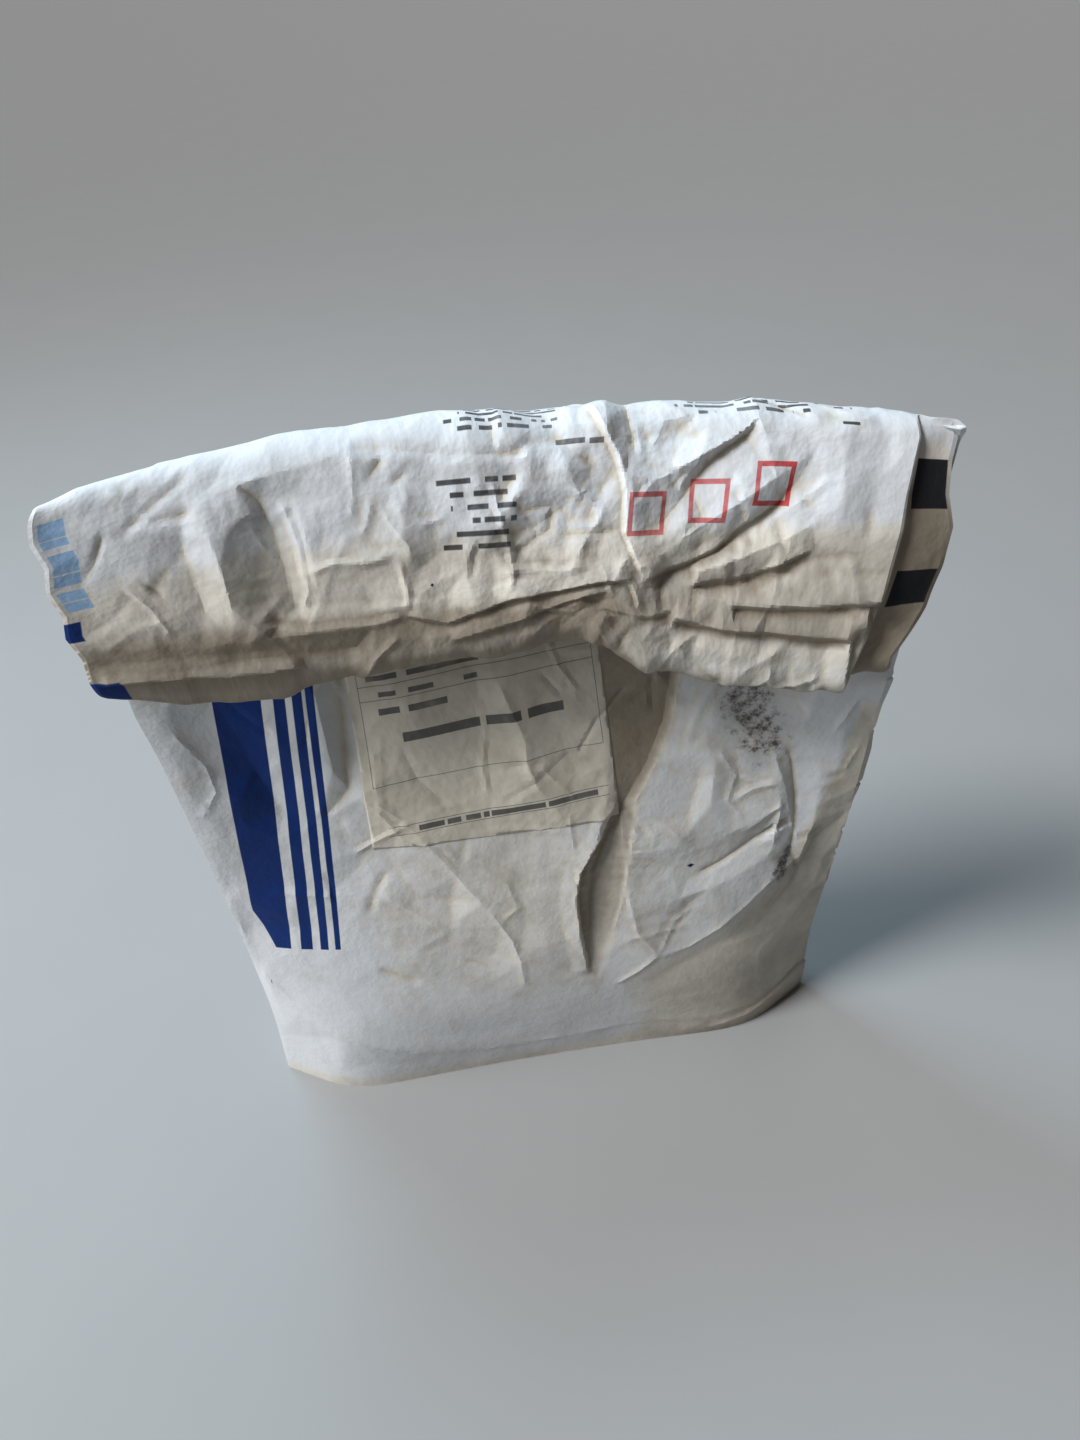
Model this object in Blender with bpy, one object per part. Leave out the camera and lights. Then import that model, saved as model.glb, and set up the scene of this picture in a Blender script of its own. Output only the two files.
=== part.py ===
"""A part-used paper sack of dry cement mix, standing on its flat bottom with the empty top rolled down.

Metres, +Z up. X runs along the sack's width and its front faces -Y. The origin is on the floor, under the
middle of the sack. The sack is made as a real one is: a flat sheet of paper is wrapped into a tube, closed
at the bottom, flattened above the dry mix, folded forward over a ridge into a flap, and tucked back up
inside the flap, where its open mouth ends.
"""
import math

import bmesh
import bpy
from mathutils import Matrix, Vector

# The paper tube
TUBE_WIDTH = 0.443              # of the empty sack laid flat, from side crease to side crease
PAPER = 0.0006                  # thickness of the plies together
CLEARANCE = 0.0003              # between the paper and what it holds or carries
CREASE_REACH = 2.0              # most that a side crease's point stands out, in thicknesses

# The dry mix
FILL_HEIGHT = 0.084             # at its edge
FILL_MOUND = 0.008              # higher in the middle

# Levels of the standing body
RIDGE_FOLD_HEIGHT = 0.444       # where the flattened tube starts to fold forward
NECK_DROP = 0.064               # the neck, where the body is nearly flat, is this far below that fold
NECK_HEIGHT = RIDGE_FOLD_HEIGHT - NECK_DROP
MIDDLE_HEIGHT = (FILL_HEIGHT + NECK_HEIGHT) / 2

# Shape of the body's sections, at those levels
LEAN_BACK = 0.020               # how far the middle of the body leans back up to the ridge
RIDGE_HALF_DEPTH = 0.005
HALF_DEPTHS = ((0.0, 0.043), (FILL_HEIGHT, 0.050), (MIDDLE_HEIGHT, 0.0375), (NECK_HEIGHT, 0.016),
               (RIDGE_FOLD_HEIGHT, RIDGE_HALF_DEPTH))
CORNER_STEEPNESS = ((0.0, 3.1), (FILL_HEIGHT, 2.5), (MIDDLE_HEIGHT, 1.8), (RIDGE_FOLD_HEIGHT, 1.4))
CORNER_SHARPNESS = ((0.0, 5.0), (FILL_HEIGHT, 3.0), (MIDDLE_HEIGHT, 2.2), (RIDGE_FOLD_HEIGHT, 2.0))
GATHERS = ((0.0, 0.068), (FILL_HEIGHT, 0.074), (MIDDLE_HEIGHT, 0.060), (RIDGE_FOLD_HEIGHT, 0.0))  # wrinkles

# How the side creases come forward of the middle, and drop
BOWS = ((0.0, 0.018), (FILL_HEIGHT, 0.023), (MIDDLE_HEIGHT, 0.037), (RIDGE_FOLD_HEIGHT, 0.050))
BOW_POWER = 2.5
BASE_SKEW = 0.011               # the right-hand crease stands this far back at the floor, the left forward
END_DROOP = 0.004               # of the side creases at the ridge
DROOP_POWER = 4.0

# The rolled top, as a strip of paper seen from the side
RIDGE_RADIUS = 0.014
FLAP_START_ANGLE = 146.0        # degrees from straight up, turning forward
FLAP_END_ANGLE = 172.0
FLAP_LENGTH = 0.099
FLAP_SLANT = 0.016              # the flap is longer by this at its right end, shorter at its left
TUCK_RADIUS = 0.0095
TUCK_START_ANGLE = 352.0
TUCK_END_ANGLE = 336.0
TUCK_LENGTH = 0.062
FLAP_HALF_DEPTH = 0.0055
TUCK_HALF_DEPTH = 0.0032
FLAP_GATHER = 0.105             # width lost to wrinkles along its lower fold
FLAP_SHIFT = -0.008             # in X, of the flap's lower fold
END_PINCH = 0.50                # share of its stand-off from the body that the roll loses at its ends
PINCH_POWER = 3.0

# The main folds. A fold keeps to one column of the grid, and each of its points says how far along the
# paper it is, its share of the half width, and how high it stands as a share of FOLD_HEIGHT.
FOLD_HEIGHT = 0.010
FOLD_FADE = 0.15                # share over which a column bends back to its own place past a fold's ends
FRONT_FOLDS = (                 # along: 0 where the mix ends, 1 at the neck
    (14, ((0.0, 0.16, 0.0), (0.15, 0.17, -0.45), (0.32, 0.18, -0.7), (0.42, 0.19, -0.55), (0.52, 0.25, -0.3),
          (0.65, 0.28, -0.7), (0.80, 0.31, -1.0), (0.95, 0.32, -1.0), (1.2, 0.30, 0.0))),
    (15, ((0.0, 0.24, 0.0), (0.20, 0.225, 0.2), (0.34, 0.245, 0.35), (0.46, 0.275, 0.35), (0.52, 0.31, 0.5),
          (0.62, 0.368, 0.5), (0.71, 0.40, 0.45), (0.87, 0.42, 0.2), (1.0, 0.42, 0.0))),
    (8, ((0.55, -0.515, 0.0), (0.64, -0.51, -0.3), (0.74, -0.495, -0.6), (0.86, -0.48, -0.6),
         (1.1, -0.49, 0.0))),
    (10, ((0.0, -0.08, 0.0), (0.07, -0.084, 0.25), (0.17, -0.11, 0.4), (0.24, -0.16, 0.35),
          (0.32, -0.255, 0.35), (0.41, -0.29, 0.3), (0.50, -0.40, 0.0))),
    (18, ((0.30, 0.79, 0.0), (0.39, 0.788, 0.28), (0.49, 0.747, 0.42), (0.58, 0.70, 0.22),
          (0.66, 0.70, 0.0))),
    (20, ((0.15, 0.78, 0.0), (0.32, 0.83, 0.22), (0.52, 0.90, 0.35), (0.73, 0.90, 0.2), (0.85, 0.88, 0.0))),
)
FLAP_FOLDS = (                  # along: 0 where the ridge starts, 1 at the flap's lower fold
    (7, ((0.40, -0.64, 0.0), (0.52, -0.65, 0.4), (0.75, -0.64, 0.4), (0.90, -0.63, 0.0))),
    (8, ((0.28, -0.54, 0.0), (0.38, -0.535, -0.4), (0.60, -0.515, -0.45), (0.78, -0.508, -0.3),
         (0.88, -0.5, 0.0))),
    (10, ((0.30, -0.29, 0.0), (0.49, -0.255, 0.35), (0.63, -0.237, 0.4), (0.78, -0.223, 0.4),
          (0.95, -0.22, 0.2), (1.0, -0.22, 0.0))),
    (14, ((0.20, 0.21, 0.0), (0.40, 0.25, 0.45), (0.60, 0.275, 0.45), (0.74, 0.34, 0.3), (0.82, 0.35, 0.0))),
    (16, ((0.40, 0.50, 0.0), (0.55, 0.49, -0.35), (0.64, 0.48, -0.4), (0.78, 0.46, -0.3), (0.88, 0.46, 0.0))),
)

# How far the roll's lower edge hangs, as a share of EDGE_DROP, from the left crease to the right one
EDGE_DROP = 0.015
EDGE_DROPS = ((-1.0, 0.0), (-0.42, 0.25), (-0.07, -0.45), (0.19, -1.0), (0.34, 0.2), (0.53, 0.75),
              (0.78, 0.85), (0.88, 0.6), (1.0, 0.0))
EDGE_DROP_FROM = 0.56           # of the way down the flap

# The label
LABEL_WIDTH = 0.152
LABEL_HEIGHT = 0.155
LABEL_THICKNESS = 0.0002
LABEL_DROP = 0.071              # its top edge below the ridge's fold, under the flap
LABEL_X = -0.027                # of its centre
LABEL_TILT = math.radians(3.0)

# Fineness of the facets
PANEL_COLUMNS = 24              # across the front, and again across the back
BODY_ROWS = 14                  # above the mix
RIDGE_ROWS = 7
FLAP_ROWS = 6
FOLD_ROWS = 7
TUCK_ROWS = 4
FILL_ROWS = 5                   # beside the mix
FILL_CAP_RINGS = 4

HALF_WIDTH = TUBE_WIDTH / 2


def along_curve(knots, at):
    """Read a smooth curve through the knots (place, value), held level beyond its ends."""
    if at <= knots[0][0]:
        return knots[0][1]
    for index in range(len(knots) - 1):
        (start, low), (end, high) = knots[index], knots[index + 1]
        if at <= end:
            before = knots[max(index - 1, 0)]
            after = knots[min(index + 2, len(knots) - 1)]
            span = end - start
            slope_in = (high - before[1]) / (end - before[0]) * span
            slope_out = (after[1] - low) / (after[0] - start) * span
            t = (at - start) / span
            return ((2 * t**3 - 3 * t**2 + 1) * low + (t**3 - 2 * t**2 + t) * slope_in
                    + (3 * t**2 - 2 * t**3) * high + (t**3 - t**2) * slope_out)
    return knots[-1][1]


def ease(value):
    """A smooth step from 0 to 1."""
    value = min(max(value, 0.0), 1.0)
    return value * value * (3 - 2 * value)


def own_side(column):
    """A column's share of the half width where no fold moves it: closer together near the creases."""
    return -math.cos(math.pi * column / PANEL_COLUMNS)


def crossings(folds, along):
    """Where each fold crosses a section: its column, its share of the half width, and its height."""
    for column, points in folds:
        past = max(points[0][0] - along, along - points[-1][0], 0.0)
        place = along_curve([(where, side) for where, side, _ in points], along)
        height = along_curve([(where, share) for where, _, share in points], along) * FOLD_HEIGHT
        hold = 1 - ease(past / FOLD_FADE)
        yield column, own_side(column) + (place - own_side(column)) * hold, height if past == 0 else 0.0


class Station:
    """One cross-section of the tube: its centre in the Y-Z plane, its heading and its shape."""

    def __init__(self, y, z, angle, height, half_depth, stand_off=0.0, rolled=0.0, hang=0.0):
        self.y = y
        self.z = z
        self.front = Vector((0, -math.cos(angle), -math.sin(angle)))
        self.half_depth = half_depth
        self.steepness = along_curve(CORNER_STEEPNESS, height)
        self.sharpness = along_curve(CORNER_SHARPNESS, height)
        self.bow = along_curve(BOWS, height)
        self.skew = BASE_SKEW * (1 - ease(height / MIDDLE_HEIGHT))
        self.droop = END_DROOP * ease((height - MIDDLE_HEIGHT) / (RIDGE_FOLD_HEIGHT - MIDDLE_HEIGHT))
        self.gather = along_curve(GATHERS, height) + FLAP_GATHER * rolled
        self.slant = FLAP_SLANT * rolled
        self.side_shift = FLAP_SHIFT * rolled
        self.stand_off = stand_off
        self.hang = hang
        self.folds = {1: [], -1: []}

    def sides(self):
        """Shares of the half width of the columns from the left crease to the right one."""
        pins = {0: -1.0, PANEL_COLUMNS // 2: 0.0, PANEL_COLUMNS: 1.0}
        for layer in (1, -1):
            pins.update((column, place) for column, place, _ in self.folds[layer])
        pinned = sorted(pins)
        sides = []
        for start, end in zip(pinned, pinned[1:]):
            scale = (pins[end] - pins[start]) / (own_side(end) - own_side(start))
            sides += [pins[start] + (own_side(column) - own_side(start)) * scale
                      for column in range(start, end)]
        return sides + [1.0]

    def depth_at(self, side):
        """Half the tube's depth at a share of its half width, 0 at the side creases."""
        def rounded(rise):
            return rise / (1 + rise**self.sharpness) ** (1 / self.sharpness)
        return self.half_depth * rounded(self.steepness * (1 - abs(side))) / rounded(self.steepness)

    def shift_at(self, side):
        """How far this part of the section is moved in Y."""
        return (self.skew * side - self.bow * abs(side) ** BOW_POWER
                + self.stand_off * END_PINCH * abs(side) ** PINCH_POWER)

    def across(self, sides):
        """X at each share of the half width: the paper keeps its width on a curve, less its wrinkles."""
        places = [0.0]
        for near, far in zip(sides, sides[1:]):
            paper = (far - near) * HALF_WIDTH
            bend = self.depth_at(far) - self.depth_at(near)
            bow = self.shift_at(far) - self.shift_at(near)
            places.append(places[-1] + math.sqrt(max(paper**2 - bend**2 - bow**2, 0.0)))
        middle = places[len(places) // 2]
        return [(place - middle) * (1 - self.gather) + self.side_shift for place in places]


def level_stations(low, high, rows):
    """Level sections from one height to another."""
    stations = []
    for row in range(rows + 1):
        height = low + (high - low) * row / rows
        lean = LEAN_BACK * height / RIDGE_FOLD_HEIGHT
        station = Station(lean, height, 0.0, height, along_curve(HALF_DEPTHS, height))
        station.folds[1] = list(crossings(FRONT_FOLDS, (height - FILL_HEIGHT) / (NECK_HEIGHT - FILL_HEIGHT)))
        stations.append(station)
    return stations


def body_stations(low):
    """The standing body, with a section where the mix ends, so that paper and mix have the same facets."""
    return (level_stations(low, FILL_HEIGHT, FILL_ROWS)
            + level_stations(FILL_HEIGHT, RIDGE_FOLD_HEIGHT, BODY_ROWS)[1:])


def roll_stations():
    """Sections over the ridge, down the flap, round its lower fold and up the tuck to the mouth."""
    ridge_length = RIDGE_RADIUS * math.radians(FLAP_START_ANGLE)
    fold_length = TUCK_RADIUS * math.radians(TUCK_START_ANGLE - FLAP_END_ANGLE)
    hang_start = -EDGE_DROP_FROM / (1 - EDGE_DROP_FROM)
    stretches = (
        (RIDGE_ROWS, ridge_length, FLAP_START_ANGLE, RIDGE_HALF_DEPTH, 0.0, (0.0, 0.0)),
        (FLAP_ROWS, FLAP_LENGTH, FLAP_END_ANGLE, FLAP_HALF_DEPTH, 1.0, (hang_start, 1.0)),
        (FOLD_ROWS, fold_length, TUCK_START_ANGLE, TUCK_HALF_DEPTH, 1.0, (1.0, 1.0)),
        (TUCK_ROWS, TUCK_LENGTH, TUCK_END_ANGLE, TUCK_HALF_DEPTH, 1.0, (1.0, 0.0)),
    )
    y, z, run = LEAN_BACK, RIDGE_FOLD_HEIGHT, 0.0
    turn_from, depth_from, rolled_from = 0.0, RIDGE_HALF_DEPTH, 0.0
    stations = []
    for rows, length, turn_to, depth_to, rolled_to, (hang_from, hang_to) in stretches:
        for row in range(1, rows + 1):
            middle = math.radians(turn_from + (turn_to - turn_from) * (row - 0.5) / rows)
            y -= math.sin(middle) * length / rows
            z += math.cos(middle) * length / rows
            run += length / rows
            share = row / rows
            angle = math.radians(turn_from + (turn_to - turn_from) * share)
            depth = depth_from + (depth_to - depth_from) * share
            rolled = rolled_from + (rolled_to - rolled_from) * share
            hang = ease(hang_from + (hang_to - hang_from) * share)
            station = Station(y, z, angle, RIDGE_FOLD_HEIGHT, depth, max(LEAN_BACK - y, 0.0), rolled, hang)
            station.folds[-1] = list(crossings(FLAP_FOLDS, run / (ridge_length + FLAP_LENGTH)))
            stations.append(station)
        turn_from, depth_from, rolled_from = turn_to, depth_to, rolled_to
    return stations


def section(station, grow):
    """Points round one cross-section: the front from left to right, then the back from right to left.

    grow moves the section out from the inside of the paper along its own surface."""
    sides = station.sides()
    places = station.across(sides)
    flap_way = math.radians(FLAP_END_ANGLE)
    slant_way = Vector((0, -math.sin(flap_way), math.cos(flap_way))) * station.slant
    ring = []
    for layer in (1, -1):
        depths = [station.depth_at(side) for side in sides]
        for column, _, height in station.folds[layer]:
            depths[column] += height
        order = range(PANEL_COLUMNS) if layer == 1 else range(PANEL_COLUMNS, 0, -1)
        for column in order:
            side = sides[column]
            before, after = max(column - 1, 0), min(column + 1, PANEL_COLUMNS)
            run = places[after] - places[before]
            rise = depths[after] - depths[before]
            span = math.hypot(run, rise)
            if column in (0, PANEL_COLUMNS):
                reach = min(span / abs(rise), CREASE_REACH)
                out_x, out_front = math.copysign(reach, side) * grow, 0.0
            else:
                out_x, out_front = -rise / span * grow, run / span * grow
            centre = Vector((places[column] + out_x, station.y + station.shift_at(side), station.z))
            centre.z -= station.droop * abs(side) ** DROOP_POWER
            centre.z -= station.hang * along_curve(EDGE_DROPS, side) * EDGE_DROP
            depth = depths[column] + out_front
            ring.append(centre + station.front * depth * layer + slant_way * side)
    return ring


def add_skin(mesh, stations, grow, mark):
    """Add a tube of paper: a flat grid carried to the sections and joined to itself along its one seam.

    Its squares are halved the same way in every skin, so that skins that lie on each other never cross.
    Each point keeps its column round the tube, and its row from the bottom counted on from mark."""
    columns, rows = 2 * PANEL_COLUMNS, len(stations) - 1
    column_of, row_of = mesh.verts.layers.int["column"], mesh.verts.layers.int["row"]
    points = bmesh.ops.create_grid(mesh, x_segments=columns, y_segments=rows, size=0.5)["verts"]
    rings = [section(station, grow) for station in stations]
    for point in points:
        column = round((point.co.x + 0.5) * columns) % columns
        row = round((point.co.y + 0.5) * rows)
        point[column_of], point[row_of] = column, mark + row
        point.co = rings[row][column]
    bmesh.ops.remove_doubles(mesh, verts=points, dist=1e-7)
    squares = [face for face in mesh.faces if len(face.verts) == 4]
    bmesh.ops.triangulate(mesh, faces=squares, quad_method="FIXED")


def new_mesh():
    """An empty bmesh whose points can hold their column and row."""
    mesh = bmesh.new()
    mesh.verts.layers.int.new("column")
    mesh.verts.layers.int.new("row")
    return mesh


def rim(mesh, row):
    """The open edges along one row."""
    row_of = mesh.verts.layers.int["row"]
    return [edge for edge in mesh.edges if edge.is_boundary and all(end[row_of] == row for end in edge.verts)]


def make_material(name, colour, roughness):
    material = bpy.data.materials.new(name)
    material.use_nodes = True
    surface = material.node_tree.nodes["Principled BSDF"]
    surface.inputs["Base Color"].default_value = (*colour, 1.0)
    surface.inputs["Roughness"].default_value = roughness
    surface.inputs["Metallic"].default_value = 0.0
    return material


def make_object(name, mesh, material):
    """Turn a finished bmesh into a named object with its material."""
    data = bpy.data.meshes.new(name)
    mesh.to_mesh(data)
    mesh.free()
    data.shade_smooth()
    data.set_sharp_from_angle(angle=math.radians(35))
    data.materials.append(material)
    item = bpy.data.objects.new(name, data)
    bpy.context.scene.collection.objects.link(item)
    return item


def paper_sack(material):
    """The tube of paper, closed at the floor and open at its mouth inside the roll."""
    roll = roll_stations()
    rows = FILL_ROWS + BODY_ROWS + len(roll)
    inside = rows + 1
    mesh = new_mesh()
    add_skin(mesh, body_stations(0.0) + roll, PAPER, 0)
    add_skin(mesh, body_stations(PAPER) + roll, 0.0, inside)
    for bottom in (0, inside):
        bmesh.ops.contextual_create(mesh, geom=rim(mesh, bottom))
    bmesh.ops.bridge_loops(mesh, edges=rim(mesh, rows) + rim(mesh, inside + rows))
    bmesh.ops.recalc_face_normals(mesh, faces=mesh.faces[:])
    return make_object("paper_sack", mesh, material)


def dry_mix(material):
    """The mix that is left in the sack, heaped a little in the middle."""
    mesh = new_mesh()
    add_skin(mesh, level_stations(PAPER + CLEARANCE, FILL_HEIGHT, FILL_ROWS), -CLEARANCE, 0)
    bmesh.ops.contextual_create(mesh, geom=rim(mesh, 0))
    top = bmesh.ops.contextual_create(mesh, geom=rim(mesh, FILL_ROWS))["faces"][0]
    centre = top.calc_center_median()
    for ring in range(1, FILL_CAP_RINGS + 1):
        share = 1 - ring / (FILL_CAP_RINGS + 1)
        last_share = share + 1 / (FILL_CAP_RINGS + 1)
        top = bmesh.ops.extrude_discrete_faces(mesh, faces=[top])["faces"][0]
        shrink = Matrix.Diagonal((share / last_share, share / last_share, 1.0, 1.0))
        bmesh.ops.transform(mesh, matrix=shrink, space=Matrix.Translation(-centre), verts=top.verts[:])
        lift = FILL_MOUND * (ease(1 - share) - ease(1 - last_share))
        bmesh.ops.translate(mesh, vec=(0, 0, lift), verts=top.verts[:])
    bmesh.ops.recalc_face_normals(mesh, faces=mesh.faces[:])
    return make_object("dry_mix", mesh, material)


def paper_label(material):
    """A stuck-on label: a piece cut from the shape of the sack's front and lifted off it a little."""
    mesh = new_mesh()
    add_skin(mesh, body_stations(0.0), PAPER + CLEARANCE, 0)
    column_of = mesh.verts.layers.int["column"]
    back = [face for face in mesh.faces if max(end[column_of] for end in face.verts) > PANEL_COLUMNS]
    bmesh.ops.delete(mesh, geom=back, context="FACES")
    centre = Vector((LABEL_X, 0, RIDGE_FOLD_HEIGHT - LABEL_DROP - LABEL_HEIGHT / 2))
    right = Vector((math.cos(LABEL_TILT), 0, math.sin(LABEL_TILT)))
    up = Vector((-math.sin(LABEL_TILT), 0, math.cos(LABEL_TILT)))
    for way, reach in ((right, LABEL_WIDTH / 2), (-right, LABEL_WIDTH / 2),
                       (up, LABEL_HEIGHT / 2), (-up, LABEL_HEIGHT / 2)):
        everything = mesh.verts[:] + mesh.edges[:] + mesh.faces[:]
        bmesh.ops.bisect_plane(mesh, geom=everything, plane_co=centre + way * reach, plane_no=way,
                               clear_outer=True)
    item = make_object("paper_label", mesh, material)
    wall = item.modifiers.new("thickness", "SOLIDIFY")
    wall.thickness = LABEL_THICKNESS
    wall.offset = 1.0
    return item


for old in list(bpy.data.objects):
    bpy.data.objects.remove(old)

paper_sack(make_material("sack_paper", (0.60, 0.57, 0.53), 0.75))
dry_mix(make_material("cement_powder", (0.36, 0.35, 0.34), 0.95))
paper_label(make_material("label_paper", (0.62, 0.58, 0.48), 0.70))
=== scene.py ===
# %% [markdown]
# # A part-used paper sack of cement mix
#
# The sack stands on its flat bottom with a little dry mix in it. Its empty top has been rolled forward into
# a heavy, crumpled flap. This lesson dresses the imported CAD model: it keeps the model's measures and adds
# what the solids leave out, the creases, the print, the stuck-on label and the dirt.
#
# Paper is the whole story here. A crumpled sheet keeps its size and breaks into flat facets that meet in
# sharp creases, so the sheet is worked out once, flat, as a fine lattice, and every piece is cut from it.

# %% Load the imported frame
import math

import bmesh
import bpy
import numpy as np
from mathutils import Matrix, Vector
from mathutils.geometry import delaunay_2d_cdt


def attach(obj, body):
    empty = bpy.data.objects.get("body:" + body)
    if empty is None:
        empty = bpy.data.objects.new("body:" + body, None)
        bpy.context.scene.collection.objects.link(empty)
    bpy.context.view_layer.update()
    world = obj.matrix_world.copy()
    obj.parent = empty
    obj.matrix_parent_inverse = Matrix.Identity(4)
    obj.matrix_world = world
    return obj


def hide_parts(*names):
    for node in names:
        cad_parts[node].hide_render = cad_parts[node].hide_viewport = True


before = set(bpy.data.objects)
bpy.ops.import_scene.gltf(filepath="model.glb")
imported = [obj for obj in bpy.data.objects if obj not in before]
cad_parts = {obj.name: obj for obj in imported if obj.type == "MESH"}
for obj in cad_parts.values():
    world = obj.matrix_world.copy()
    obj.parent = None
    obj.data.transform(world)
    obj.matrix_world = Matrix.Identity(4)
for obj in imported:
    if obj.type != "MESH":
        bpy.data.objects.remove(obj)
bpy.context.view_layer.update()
print("nodes:", sorted(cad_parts))

# %% [markdown]
# ## The measures of the paper
#
# The tube is a sheet of paper wrapped round and joined at the left-hand crease. A place on it has two
# numbers: how far round it is, from the left crease over the front and back over the back, and how far
# along it is, from the floor up the body, over the ridge, down the flap, round its lower fold and up the
# tuck to the mouth. These are the same numbers that the solids were made with.

# %% The paper's measures, in metres and degrees
MM = 0.001
TUBE_WIDTH = 0.443
PAPER = 0.0006
FILL_HEIGHT = 0.084
RIDGE_FOLD_HEIGHT = 0.444
NECK_HEIGHT = 0.380
MIDDLE_HEIGHT = 0.232
LEAN_BACK = 0.020
HALF_DEPTHS = ((0.0, 0.043), (FILL_HEIGHT, 0.050), (MIDDLE_HEIGHT, 0.0375), (NECK_HEIGHT, 0.016),
               (RIDGE_FOLD_HEIGHT, 0.005))
HEIGHTS = (0.0, FILL_HEIGHT, MIDDLE_HEIGHT, RIDGE_FOLD_HEIGHT)
STEEPNESS = tuple(zip(HEIGHTS, (3.1, 2.5, 1.8, 1.4)))
SHARPNESS = tuple(zip(HEIGHTS, (5.0, 3.0, 2.2, 2.0)))
GATHERS = tuple(zip(HEIGHTS, (0.068, 0.074, 0.060, 0.0)))
BOWS = tuple(zip(HEIGHTS, (0.018, 0.023, 0.037, 0.050)))
BOW_POWER = 2.5
BASE_SKEW = 0.011
END_DROOP = 0.004
RIDGE_RADIUS = 0.014
FLAP_START_ANGLE, FLAP_END_ANGLE = 146.0, 172.0
FLAP_LENGTH = 0.099
FLAP_SLANT = 0.016
TUCK_RADIUS = 0.0095
TUCK_START_ANGLE, TUCK_END_ANGLE = 352.0, 336.0
TUCK_LENGTH = 0.062
ROLL_HALF_DEPTHS = (0.005, 0.005, 0.0055, 0.0032)
FLAP_GATHER = 0.105
FLAP_SHIFT = -0.008
END_PINCH = 0.50

FLAP_TOP = RIDGE_FOLD_HEIGHT + RIDGE_RADIUS * math.radians(FLAP_START_ANGLE)
FLAP_FOOT = FLAP_TOP + FLAP_LENGTH
TUCK_FOOT = FLAP_FOOT + TUCK_RADIUS * math.radians(TUCK_START_ANGLE - FLAP_END_ANGLE)
MOUTH = TUCK_FOOT + TUCK_LENGTH
print(f"sheet: {2 * TUBE_WIDTH:.3f} m round, {MOUTH:.3f} m along")

# %% [markdown]
# ## The sheet before it is crumpled
#
# One array holds a point of the outer surface for every millimetre of paper, and a second one the way that
# the paper faces there. Working in arrays lets the creases be drawn on the flat sheet first, as they are
# on real paper, and carried into space afterwards.


# %% A lattice of the smooth sheet
def smooth_curve(knots, at):
    """Values of a smooth curve through knots of place and value."""
    places, values = np.array(knots).T
    slopes = np.empty_like(values)
    slopes[1:-1] = (values[2:] - values[:-2]) / (places[2:] - places[:-2])
    slopes[0] = (values[1] - values[0]) / (places[1] - places[0])
    slopes[-1] = (values[-1] - values[-2]) / (places[-1] - places[-2])
    at = np.clip(at, places[0], places[-1])
    knot = np.clip(np.searchsorted(places, at, side="right") - 1, 0, len(places) - 2)
    span = places[knot + 1] - places[knot]
    t = (at - places[knot]) / span
    return ((2 * t**3 - 3 * t**2 + 1) * values[knot] + (t**3 - 2 * t**2 + t) * slopes[knot] * span
            + (3 * t**2 - 2 * t**3) * values[knot + 1] + (t**3 - t**2) * slopes[knot + 1] * span)


def ease(value):
    """A smooth step from 0 to 1."""
    value = np.clip(value, 0.0, 1.0)
    return value * value * (3 - 2 * value)


def rise(values, start, length):
    """A smooth step from 0 at start to 1 a length further on; a negative length steps the other way."""
    return ease((values - start) / length)


HALF = round(TUBE_WIDTH / MM)
ALONG = np.arange(0.0, MOUTH, MM)
ACROSS = np.linspace(0.0, 2 * TUBE_WIDTH, 2 * HALF + 1)


def both_layers(front):
    """The front layer's columns from left to right, then the back layer's from right to left."""
    return np.concatenate([front, front[:, -2::-1]], axis=1)


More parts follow.
